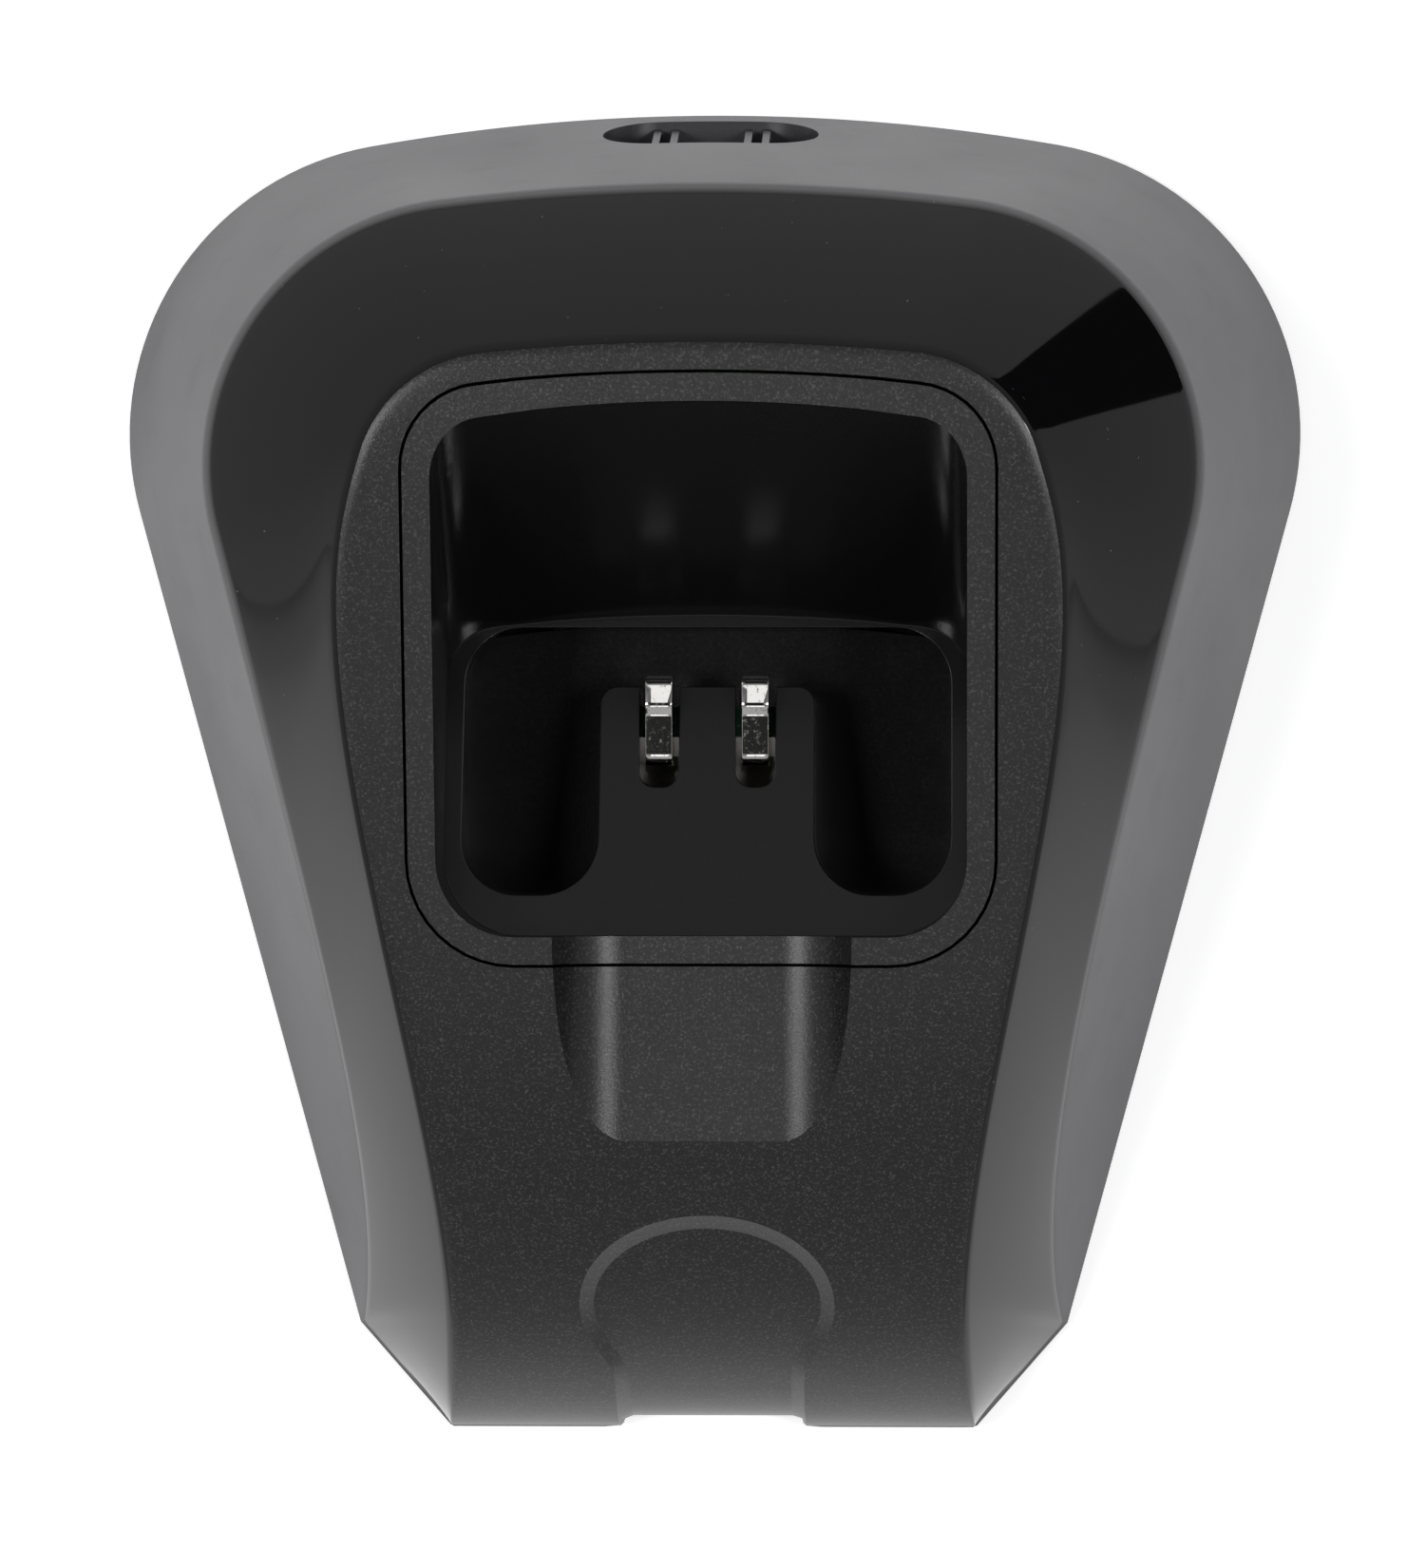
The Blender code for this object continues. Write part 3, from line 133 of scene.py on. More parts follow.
def boolean(obj: bpy.types.Object, other: bpy.types.Object, operation: str) -> bpy.types.Object:
    """Applies an exact Boolean with another object, which is then removed."""
    apply_modifier(obj, "BOOLEAN", operation=operation, solver="EXACT", object=other)
    bpy.data.objects.remove(other)
    return obj


def cut(obj: bpy.types.Object, other: bpy.types.Object) -> bpy.types.Object:
    """Takes the other object's space out of obj."""
    return boolean(obj, other, "DIFFERENCE")


def join(obj: bpy.types.Object, other: bpy.types.Object) -> bpy.types.Object:
    """Adds the other object to obj as one body."""
    return boolean(obj, other, "UNION")


def keep_inside(obj: bpy.types.Object, other: bpy.types.Object) -> bpy.types.Object:
    """Keeps only what obj shares with the other object."""
    return boolean(obj, other, "INTERSECT")


def divide(obj: bpy.types.Object, axis: str, places: Sequence[float]) -> bpy.types.Object:
    """Cuts every face along flat planes across an axis, so that large faces hold few openings."""
    across = Vector((float(axis == "X"), float(axis == "Y"), float(axis == "Z")))
    for place in places:
        with editing(obj, Part.FACES, everything):
            bpy.ops.mesh.bisect(plane_co=across * place, plane_no=across)
    return obj


def close_holes(obj: bpy.types.Object, sides: int) -> bpy.types.Object:
    """Fills the small openings that rounding can leave where edges meet."""
    with editing(obj, Part.EDGES, everything):
        bpy.ops.mesh.fill_holes(sides=sides)
    return obj


def face_outwards(obj: bpy.types.Object) -> bpy.types.Object:
    """Merges doubles and turns every face outwards."""
    with editing(obj, Part.VERTS, everything):
        bpy.ops.mesh.remove_doubles(threshold=DOUBLE)
        bpy.ops.mesh.select_all(action="SELECT")
        bpy.ops.mesh.normals_make_consistent(inside=False)
        if bmesh.from_edit_mesh(obj.data).calc_volume(signed=True) < 0.0:
            bpy.ops.mesh.flip_normals()
    return obj


def copied(obj: bpy.types.Object, name: str, move: Sequence[float]) -> bpy.types.Object:
    """A copy of a finished piece with a mesh of its own, moved and then settled at the origin."""
    twin = obj.copy()
    twin.data = obj.data.copy()
    twin.name = name
    bpy.context.collection.objects.link(twin)
    twin.location = move
    pick_only(twin)
    bpy.ops.object.transform_apply(location=True, rotation=False, scale=False)
    return twin


def prism(name: str, outline: Sequence[Point2], low: float, high: float,
          axis: str = "Z") -> bpy.types.Object:
    """An outline made solid: a filled ring of points, extruded along an axis.

    Args:
        name: the object's name.
        outline: points across the axis, as (x, y) for Z, (y, z) for X and (x, z) for Y.
        low: where the solid starts along the axis.
        high: where it ends.
        axis: "X", "Y" or "Z".

    Returns:
        The closed solid with outward faces.
    """
    place = {"Z": lambda a, b, c: (a, b, c),
             "X": lambda a, b, c: (c, a, b),
             "Y": lambda a, b, c: (a, c, b)}[axis]
    bpy.ops.object.select_all(action="DESELECT")
    bpy.ops.mesh.primitive_circle_add(vertices=len(outline), fill_type="NGON")
    obj = bpy.context.object
    obj.name = name
    for vertex, (a, b) in zip(obj.data.vertices, outline):
        vertex.co = place(a, b, low)
    with editing(obj, Part.FACES, everything):
        bpy.ops.mesh.extrude_region_move(TRANSFORM_OT_translate={"value": place(0.0, 0.0, high - low)})
    return face_outwards(obj)


def disc(name: str, place: Point2, radius: float, low: float, high: float,
         sides: int = 48) -> bpy.types.Object:
    """An upright round solid from a cylinder primitive."""
    bpy.ops.object.select_all(action="DESELECT")
    centre = (place[0], place[1], (low + high) / 2)
    bpy.ops.mesh.primitive_cylinder_add(vertices=sides, radius=radius, depth=high - low, location=centre)
    obj = bpy.context.object
    obj.name = name
    bpy.ops.object.transform_apply(location=True, rotation=True, scale=True)
    return obj


def box(name: str, low: Sequence[float], high: Sequence[float]) -> bpy.types.Object:
    """A box between two corners from a cube primitive."""
    bpy.ops.object.select_all(action="DESELECT")
    centre = [(a + b) / 2 for a, b in zip(low, high)]
    bpy.ops.mesh.primitive_cube_add(size=1, location=centre, scale=[b - a for a, b in zip(low, high)])
    obj = bpy.context.object
    obj.name = name
    bpy.ops.object.transform_apply(location=True, rotation=True, scale=True)
    return obj


def sheet(name: str, rows: Sequence[Sequence[Vector]]) -> bpy.types.Object:
    """A grid primitive laid over rows of points, all rows with as many points."""
    across = len(rows[0])
    bpy.ops.object.select_all(action="DESELECT")
    bpy.ops.mesh.primitive_grid_add(x_subdivisions=across - 1, y_subdivisions=len(rows) - 1)
    obj = bpy.context.object
    obj.name = name
    for vertex, point in zip(obj.data.vertices, (point for row in rows for point in row)):
        vertex.co = point
    return obj


def round_edges(obj: bpy.types.Object, width: float, sharp: float = 35.0, steps: int = 3,
                where: Callable[[Vector], bool] = everything) -> bpy.types.Object:
    """Rounds the sharp edges whose middles lie where the caller says.

    Args:
        obj: the solid.
        width: how far the rounding reaches from each edge.
        sharp: the angle in degrees above which an edge is sharp.
        steps: segments across the rounding.
        where: says of an edge's middle point whether it is rounded.

    Returns:
        The same object.
    """
    limit = math.radians(sharp)

    def wanted(edge: bmesh.types.BMEdge) -> bool:
        """Chooses a sharp edge in the right place."""
        middle = (edge.verts[0].co + edge.verts[1].co) / 2
        return edge.calc_face_angle(0.0) > limit and where(middle)

    with editing(obj, Part.EDGES, wanted):
        bpy.ops.mesh.bevel(offset=width, segments=steps, profile=0.5, clamp_overlap=True)
    return obj


def rounded(corners: Sequence[tuple[float, float, float]], steps: int = 10) -> list[Point2]:
    """Outline through corners given as (x, y, radius), each corner rounded by its radius."""
    points = []
    for index, (x, y, radius) in enumerate(corners):
        if radius <= 0.0:
            points.append((x, y))
            continue
        here = Vector((x, y))
        before = (Vector(corners[index - 1][:2]) - here).normalized()
        after = (Vector(corners[(index + 1) % len(corners)][:2]) - here).normalized()
        half = math.acos(max(-1.0, min(1.0, before.dot(after)))) / 2
        centre = here + (before + after).normalized() * (radius / math.sin(half))
        start = here + before * (radius / math.tan(half)) - centre
        end = here + after * (radius / math.tan(half)) - centre
        sweep = math.atan2(start.x * end.y - start.y * end.x, start.dot(end))
        for step in range(steps + 1):
            angle = sweep * step / steps
            turned = Matrix.Rotation(angle, 2) @ start
            points.append((centre.x + turned.x, centre.y + turned.y))
    return points


def bezier(points: Sequence[Vector], steps: int) -> list[Vector]:
    """Points of a Bezier curve through its control points' hull, its start left out."""
    line = []
    for step in range(1, steps + 1):
        level = list(points)
        t = step / steps
        while len(level) > 1:
            level = [a.lerp(b, t) for a, b in zip(level, level[1:])]
        line.append(level[0])
    return line


# ================================================================ finishes
class Value:
    """One output socket of a material, with Python's operators as Math nodes."""

    def __init__(self, bench: "Bench", socket: bpy.types.NodeSocket) -> None:
        """Keeps the socket and the bench that adds nodes beside it."""
        self.bench = bench
        self.socket = socket

    def maths(self, operation: str, *others: Union["Value", float], clamp: bool = False) -> "Value":
        """A Math node of this value and up to two others."""
        inputs = {index: item for index, item in enumerate((self, *others))}
        return self.bench.node("ShaderNodeMath", {"operation": operation, "use_clamp": clamp}, inputs)

    def __add__(self, other: Union["Value", float]) -> "Value":
        """self + other."""
        return self.maths("ADD", other)

    __radd__ = __add__

    def __mul__(self, other: Union["Value", float]) -> "Value":
        """self * other."""
        return self.maths("MULTIPLY", other)

    __rmul__ = __mul__

    def __sub__(self, other: Union["Value", float]) -> "Value":
        """self - other."""
        return self.maths("SUBTRACT", other)

    def __rsub__(self, other: float) -> "Value":
        """other - self."""
        return self.maths("MULTIPLY", -1.0).maths("ADD", other)


class Bench:
    """One material's nodes, its Principled shader and short ways to add to them."""

    def __init__(self, name: str) -> None:
        """Makes the material with its Principled shader and object coordinates."""
        self.material = bpy.data.materials.new(name)
        self.material.use_nodes = True
        self.tree = self.material.node_tree
        self.shader = self.tree.nodes["Principled BSDF"]
        self.place = self.node("ShaderNodeTexCoord", {}, {}, "Object")

    def node(self, kind: str, settings: dict, inputs: dict, output: Union[int, str] = 0) -> Value:
        """Adds any node.

        Args:
            kind: the node's type.
            settings: its own settings, set first; "stops" gives a ramp's (place, colour) pairs.
            inputs: a value or a link for each of its sockets, by name or number.
            output: the output that is used.

        Returns:
            The output, ready for expressions.
        """
        node = self.tree.nodes.new(kind)
        for name, value in settings.items():
            if name != "stops":
                setattr(node, name, value)
                continue
            ramp = node.color_ramp
            while len(ramp.elements) < len(value):
                ramp.elements.new(0.5)
            for element, (place, shade) in zip(ramp.elements, value):
                element.position = place
                element.color = (shade, shade, shade, 1.0)
        for key, value in inputs.items():
            if isinstance(value, Value):
                self.tree.links.new(value.socket, node.inputs[key])
            else:
                node.inputs[key].default_value = value
        return Value(self, node.outputs[output])

    def noise(self, size: float, detail: float = 2.0, stretch: Sequence[float] = (1.0, 1.0, 1.0),
              roughness: float = 0.5) -> Value:
        """Noise whose patches are about size across, in metres, and longer along small stretches."""
        place = self.node("ShaderNodeMapping", {}, {"Vector": self.place, "Scale": stretch})
        return self.node("ShaderNodeTexNoise", {}, {"Vector": place, "Scale": 1.0 / size, "Detail": detail,
                                                    "Roughness": roughness})

    def ramp(self, value: Value, *stops: Point2) -> Value:
        """A ramp from values to shades, as (place, shade) stops."""
        return self.node("ShaderNodeValToRGB", {"stops": stops}, {"Fac": value})

    def blend(self, share: Union[Value, float], first: Union[Value, Colour],
              second: Union[Value, Colour]) -> Value:
        """A colour from first to second by share."""
        sockets = {0: share}
        for key, colour in ((6, first), (7, second)):
            sockets[key] = colour if isinstance(colour, Value) else (*colour, 1.0)
        return self.node("ShaderNodeMix", {"data_type": "RGBA"}, sockets, 2)

    def bump(self, height: Value, depth: float, strength: float = 1.0) -> None:
        """Raises the surface by height times depth, in metres, through the shader's normal."""
        inputs = {"Height": height, "Distance": depth, "Strength": strength}
        self.feed("Normal", self.node("ShaderNodeBump", {}, inputs))

    def feed(self, socket: str, value: Union[Value, float, Colour]) -> None:
        """Sets one of the shader's sockets to a number or a colour, or links it."""
        if isinstance(value, Value):
            self.tree.links.new(value.socket, self.shader.inputs[socket])
        elif isinstance(value, tuple):
            self.shader.inputs[socket].default_value = (*value, 1.0)
        else:
            self.shader.inputs[socket].default_value = value


@dataclass(frozen=True)
class GrainedPlastic:
    """Moulded plastic with an eroded grain, as the ramp, the skirt, the cup and the cover have."""

    name: str
    colour: Colour
    # colour of the painted glints: painted highlight on the grain's tops
    glint_tone: Colour
    roughness: float
    grain: float
    depth: float
    glint_share: float = 0.5
    specular: float = 0.5

    def material(self) -> bpy.types.Material:
        """Dark base, pale painted glints (painted highlight) on the grain's tops, roughness that follows it
        and a fine bump.
        """
        bench = Bench(self.name)
        coarse = bench.noise(self.grain, 3.0, roughness=0.6)
        fine = bench.noise(self.grain * 0.4, 2.0)
        patches = bench.noise(22 * MM, 2.0)
        height = coarse * 0.65 + fine * 0.35
        # painted highlight: pale colour on the grain's tops stands in for glints of light
        painted_glints = bench.ramp(height, (0.53, 0.0), (0.62, 1.0))
        wear = bench.ramp(bench.noise(5 * MM, 4.0), (0.55, 0.0), (0.8, 1.0))
        bench.feed("Base Color", bench.blend(painted_glints * self.glint_share, self.colour, self.glint_tone))
        bench.feed("Roughness", patches * 0.10 + height * 0.12 + wear * 0.03 + (self.roughness - 0.12))
        bench.feed("Specular IOR Level", self.specular)
        bench.bump(height, self.depth)
        return bench.material


@dataclass(frozen=True)
class PolishedPlastic:
    """Glossy moulded plastic with faint flow waves and a few dust specks."""

    name: str
    colour: Colour
    roughness: float
    waves: float

    def material(self) -> bpy.types.Material:
        """Near-black gloss; slow waves bend its reflections, and dust specks catch light."""
        bench = Bench(self.name)
        flow = bench.noise(16 * MM, 1.0, stretch=(1.0, 0.6, 1.0))
        dust = bench.ramp(bench.noise(0.5 * MM, 1.0), (0.80, 0.0), (0.83, 1.0))
        smear = bench.ramp(bench.noise(9 * MM, 3.0), (0.5, 0.0), (0.75, 1.0))
        bench.feed("Base Color", bench.blend(dust * 0.5, self.colour, (0.20, 0.20, 0.21)))
        bench.feed("Roughness", smear * 0.03 + dust * 0.3 + self.roughness)
        bench.bump(flow, self.waves)
        return bench.material


@dataclass(frozen=True)
class BareMetal:
    """Metal of the contacts and screws, with fine rolling lines and scuffs where it rubs."""

    name: str
    colour: Colour
    roughness: float
    scuff_share: float
    lines_along: tuple[float, float, float]

    def material(self) -> bpy.types.Material:
        """Mirror-like metal with lines along the strip and duller scuff marks."""
        bench = Bench(self.name)
        lines = bench.noise(0.12 * MM, 2.0, stretch=self.lines_along)
        scuffs = bench.ramp(bench.noise(0.45 * MM, 4.0, roughness=0.7), (0.56, 0.0), (0.64, 1.0))
        dark = (self.colour[0] * 0.35, self.colour[1] * 0.34, self.colour[2] * 0.33)
        bench.feed("Base Color", bench.blend(scuffs * self.scuff_share, self.colour, dark))
        bench.feed("Roughness", lines * 0.10 + scuffs * (0.3 * self.scuff_share) + self.roughness)
        bench.feed("Metallic", 1.0)
        bench.bump(lines * 0.7 + scuffs * 0.3, 0.0012 * MM)
        return bench.material


@dataclass(frozen=True)
class Rubber:
    """Matte rubber of the feet, a little dusty."""

    name: str
    colour: Colour

    def material(self) -> bpy.types.Material:
        """Dark rubber with pale dust in patches and a soft uneven surface."""
        bench = Bench(self.name)
        dust = bench.ramp(bench.noise(2 * MM, 5.0, roughness=0.65), (0.45, 0.0), (0.8, 1.0))
        pores = bench.noise(0.25 * MM, 3.0)
        bench.feed("Base Color", bench.blend(dust * 0.35, self.colour, (0.11, 0.105, 0.10)))
        bench.feed("Roughness", dust * 0.08 + 0.82)
        bench.bump(pores, 0.03 * MM)
        return bench.material


@dataclass(frozen=True)
class BoardLaminate:
    """Solder-masked laminate with copper tracks under the mask."""

    name: str
    mask: Colour
    track: Colour
    pitch: float

    def material(self) -> bpy.types.Material:
        """Tracks as square cells joined in runs, under a glossy mask."""
        bench = Bench(self.name)
        cells = bench.node("ShaderNodeTexVoronoi", {"distance": "CHEBYCHEV", "feature": "F1"},
                           {"Vector": bench.place, "Scale": 1.0 / self.pitch, "Randomness": 0.7})
        tracks = bench.ramp(cells, (0.34, 0.0), (0.36, 1.0), (0.44, 1.0), (0.46, 0.0))
        weave = bench.noise(0.3 * MM, 2.0)
        bench.feed("Base Color", bench.blend(tracks, self.mask, self.track))
        bench.feed("Roughness", weave * 0.1 + 0.28)
        bench.bump(tracks * 0.8 + weave * 0.2, 0.03 * MM)
        return bench.material


@dataclass(frozen=True)
class LabelFilm:
    """Blank silver-grey film with a printed border line."""

    name: str
    film: Colour
    ink: Colour
    half_size: Point2
    margin: float

    def material(self) -> bpy.types.Material:
        """Film with paper grain, and an ink line a margin inside its edge."""
        bench = Bench(self.name)
        axes = [bench.node("ShaderNodeSeparateXYZ", {}, {"Vector": bench.place}, axis) for axis in "XY"]
        across, along = (axis.maths("ABSOLUTE") - (half - self.margin)
                         for axis, half in zip(axes, self.half_size))
        reach = across.maths("MAXIMUM", along)
        line = reach.maths("ABSOLUTE").maths("LESS_THAN", 0.18 * MM)
        grain = bench.noise(0.4 * MM, 3.0)
        bench.feed("Base Color", bench.blend(line, self.film, self.ink))
        bench.feed("Roughness", grain * 0.2 + 0.38)
        bench.bump(grain, 0.004 * MM)
        return bench.material


@dataclass(frozen=True)
class Finishes:
    """Every finish of the cradle."""

    # the second colour of each grained finish is its painted glint colour, a painted highlight on the grain's
    # tops
    panel: GrainedPlastic = GrainedPlastic("panel_grain", (0.006, 0.006, 0.006), (0.075, 0.075, 0.073),
                                           0.37, 0.27 * MM, 0.035 * MM, 0.6)
    skirt: GrainedPlastic = GrainedPlastic("skirt_satin", (0.022, 0.022, 0.028), (0.045, 0.045, 0.055),
                                           0.42, 0.22 * MM, 0.012 * MM, 0.5, 0.42)
    shoulder: PolishedPlastic = PolishedPlastic("shoulder_gloss", (0.0028, 0.0028, 0.0032), 0.05, 0.05 * MM)
    cup: GrainedPlastic = GrainedPlastic("cup_satin", (0.0060, 0.0060, 0.0061), (0.013, 0.013, 0.013), 0.20,
                                         0.30 * MM, 0.012 * MM, 0.4)
    rim: GrainedPlastic = GrainedPlastic("rim_grain", (0.009, 0.009, 0.009), (0.085, 0.085, 0.083), 0.37,
                                         0.27 * MM, 0.035 * MM, 0.6)
    cover: GrainedPlastic = GrainedPlastic("cover_grain", (0.013, 0.013, 0.0135), (0.035, 0.035, 0.036),
                                           0.55, 0.5 * MM, 0.04 * MM)
    carrier: GrainedPlastic = GrainedPlastic("carrier_nylon", (0.55, 0.53, 0.47), (0.70, 0.68, 0.62), 0.5,
                                             0.6 * MM, 0.01 * MM)
    inlet: GrainedPlastic = GrainedPlastic("inlet_plastic", (0.010, 0.010, 0.010), (0.03, 0.03, 0.03), 0.42,
                                           0.3 * MM, 0.02 * MM)
    sleeve: GrainedPlastic = GrainedPlastic("capacitor_sleeve", (0.010, 0.016, 0.06), (0.03, 0.04, 0.11),
                                            0.32, 0.8 * MM, 0.008 * MM)
    epoxy: GrainedPlastic = GrainedPlastic("black_epoxy", (0.012, 0.012, 0.012), (0.05, 0.05, 0.05), 0.55,
                                           0.12 * MM, 0.02 * MM)
    fuse: GrainedPlastic = GrainedPlastic("fuse_coating", (0.40, 0.29, 0.035), (0.55, 0.42, 0.08), 0.45,
                                          0.3 * MM, 0.02 * MM)
    contact: BareMetal = BareMetal("contact_nickel", (0.82, 0.81, 0.79), 0.04, 0.5, (1.0, 0.12, 0.12))
    screw: BareMetal = BareMetal("zinc_steel", (0.55, 0.55, 0.57), 0.22, 0.5, (1.0, 1.0, 1.0))
    foot: Rubber = Rubber("foot_rubber", (0.016, 0.016, 0.016))
    board: BoardLaminate = BoardLaminate("board_laminate", (0.010, 0.085, 0.032), (0.05, 0.20, 0.07),
                                         2.2 * MM)
    label: LabelFilm = LabelFilm("label_film", (0.55, 0.55, 0.54), (0.03, 0.03, 0.03), (17 * MM, 12 * MM),
                                 1.6 * MM)


def dress(obj: bpy.types.Object, *materials: bpy.types.Material) -> bpy.types.Object:
    """Replaces an object's materials; faces keep their indices where it had none."""
    if obj.data.materials:
        obj.data.materials.clear()
    for material in materials:
        obj.data.materials.append(material)
    return obj


def smooth(obj: bpy.types.Object, angle: float = 32.0) -> bpy.types.Object:
    """Smooth shading with sharp edges kept above an angle, and normals led by the large faces."""
    pick_only(obj)
    bpy.ops.object.shade_smooth_by_angle(angle=math.radians(angle), keep_sharp_edges=False)
    return apply_modifier(obj, "WEIGHTED_NORMAL", keep_sharp=True, weight=60)


def place_piece(obj: bpy.types.Object, body: str, slot: str, *nodes: str) -> None:
    """Hands a finished piece to the frame: its body and the nodes it stands for; the material slot is not
    used.
    """
    obj.data.name = obj.name
    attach(obj, body)
    if nodes:
        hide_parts(*nodes)
    LOG.info("%s: %d faces", obj.name, len(obj.data.polygons))


# ================================================================ outer curves
@dataclass(frozen=True)
class Fineness:
    """How many stations each stretch of the half outline gets."""

    rear: int
    corner: int
    side: int
    facet: int


FINE = Fineness(rear=18, corner=34, side=72, facet=22)
COARSE = Fineness(rear=4, corner=9, side=13, facet=5)


@dataclass
class CradleForm:
    """The outer curves of the cradle, which the housing, the cup and the cover share."""

    rear_y: float
    front_y: float
    hem_z: float
    hem_half_width: float = 56.2 * MM
    hem_rear_radius: float = 190 * MM
    hem_corner_radius: float = 28 * MM
    side_angle: float = math.radians(15.3)
    facet_depth: float = 9.9 * MM
    front_half_width: float = 25.2 * MM
    skirt_top_z: float = 36 * MM
    skirt_toe_rise: float = 0.6 * MM
    skirt_rear_inset: float = 9.3 * MM
    skirt_side_inset: float = 10.5 * MM
    skirt_rear_radius: float = 200 * MM
    skirt_corner_radius: float = 24.5 * MM
    skirt_side_angle: float = math.radians(13.77)
    skirt_waist_inset: float = 4.27 * MM
    skirt_fall_power: float = 2.6
    skirt_land_power: float = 0.72
    skirt_toe: Point2 = (-0.5 * MM, 0.2 * MM)
    skirt_lead: float = 0.45
    skirt_pull: float = 0.198
    facet_step: Point2 = (-0.35 * MM, 0.12 * MM)
    panel_rear_y: float = 38.4 * MM
    panel_half_width: float = 33 * MM
    panel_corner_inset: float = 1.8 * MM
    panel_rear_radius: float = 200 * MM
    panel_corner_radius: float = 13 * MM
    panel_corner_turn: float = math.radians(-18)
    panel_widest_y: float = 14 * MM
    panel_waist_half_width: float = 24 * MM
    panel_waist_rise: float = 12.7 * MM
    panel_tension: tuple[float, float, float, float] = (0.35, 0.40, 0.30, 0.28)
    panel_front_gap: float = 0.1 * MM
    panel_flare_gap: float = 0.25 * MM
    ramp_z: float = 40.3 * MM
    ramp_slope: float = 0.235
    nose_length: float = 52.7 * MM
    nose_power: float = 2.4
    crest_start_y: float = 24 * MM
    crest_curve: float = 6.4
    wall: float = 2 * MM
    wall_stretch: float = 1.03
    gap: float = 0.3 * MM
    cover_screws: tuple[Point2, ...] = ((36 * MM, 44 * MM), (25.5 * MM, -35 * MM))
    cup_screw: Point2 = (30 * MM, 5 * MM)
    shank_radius: float = 1.6 * MM
    rib_places: tuple[float, ...] = (3.5 * MM, 5.2 * MM)
    rib_thickness: float = 0.7 * MM
    inside_steps: int = 72

    def rear_draft(self) -> float:
        """How far the rear of the skirt leans in for each unit of height."""
        return self.skirt_rear_inset / (self.skirt_top_z - self.hem_z)

    def rib_lines(self) -> list[float]:
        """Places across the cradle of the cord ribs on both sides."""
        return [side * place for place in self.rib_places for side in SIDES]

    def ramp_height(self, y: float, inset: float = 0.0) -> float:
        """Height of the ramp at y, or of the surface that far inside it."""
        drop = inset * math.hypot(1.0, self.ramp_slope)
        height = self.ramp_z + self.ramp_slope * y - drop
        if y > self.crest_start_y:
            height -= self.crest_curve * (y - self.crest_start_y) ** 2
        nose_y = self.front_y + inset
        nose_drop = self.ramp_z + self.ramp_slope * nose_y - drop - self.hem_z
        roll_start = self.front_y + self.nose_length
        reach = min(max((roll_start - y) / (roll_start - nose_y), 0.0), 1.0)
        return height - nose_drop * (1.0 - math.sqrt(1.0 - reach ** self.nose_power))

    def skirt_height(self, y: float) -> float:
        """Height of the skirt's top edge: high at the rear, down to the hem at the front corner."""
        rear_y = self.rear_y - self.skirt_rear_inset
        shoulder_y = self.front_y + self.facet_depth
        reach = min(max((rear_y - y) / (rear_y - shoulder_y), 0.0), 1.0)
        toe_z = self.hem_z + self.skirt_toe_rise
        share = (1.0 - reach ** self.skirt_fall_power) ** self.skirt_land_power
        return toe_z + (self.skirt_top_z - toe_z) * share

    @staticmethod
    def rear_and_corner(rear_y: float, rear_radius: float, corner_radius: float, widest: float,
                        end_angle: float, fine: Fineness) -> list[Vector]:
        """Points from the rear centre round the corner, until the corner's arc reaches end_angle."""
        corner_x = widest - corner_radius
        span = rear_radius - corner_radius
        corner_y = rear_y - rear_radius + math.sqrt(span ** 2 - corner_x ** 2)
        turn = math.asin(corner_x / span)
        points = []
        for step in range(fine.rear):
            angle = turn * step / fine.rear
            points.append(Vector((rear_radius * math.sin(angle),
                                  rear_y - rear_radius * (1 - math.cos(angle)))))
        for step in range(fine.corner + 1):
            angle = turn + (math.pi / 2 + end_angle - turn) * step / fine.corner
            points.append(Vector((corner_x + corner_radius * math.sin(angle),
                                  corner_y + corner_radius * math.cos(angle))))
        return points

    def hem_outline(self, fine: Fineness) -> list[Vector]:
        """Right half of the hem, from the rear centre to the front corner."""
        points = self.rear_and_corner(self.rear_y, self.hem_rear_radius, self.hem_corner_radius,
                                      self.hem_half_width, self.side_angle, fine)
        top = points[-1]
        shoulder_y = self.front_y + self.facet_depth
        shoulder = Vector((top.x - (top.y - shoulder_y) * math.tan(self.side_angle), shoulder_y))
        points += [top.lerp(shoulder, step / fine.side) for step in range(1, fine.side + 1)]
        corner = Vector((self.front_half_width, self.front_y))
        points += [shoulder.lerp(corner, step / fine.facet) for step in range(1, fine.facet + 1)]
        return points

    def skirt_outline(self, fine: Fineness) -> list[Vector]:
        """Right half of the skirt's top edge, station for station with the hem."""
        hem = self.hem_outline(fine)
        points = self.rear_and_corner(self.rear_y - self.skirt_rear_inset, self.skirt_rear_radius,
                                      self.skirt_corner_radius, self.hem_half_width - self.skirt_side_inset,
                                      self.skirt_side_angle, fine)
        start = points[-1]
        end = hem[fine.rear + fine.corner + fine.side] + Vector(self.skirt_toe)
        length = start.y - end.y
        straight, pulled = self.skirt_lead * length, self.skirt_pull * length
        lead = Vector((start.x - math.tan(self.skirt_side_angle) * straight, start.y - straight))
        pull = Vector((end.x - self.skirt_toe[0] - self.skirt_waist_inset, end.y + pulled))
        points += bezier([start, lead, pull, end], fine.side)
        points += [point + Vector(self.facet_step) for point in hem[-fine.facet:]]
        return points

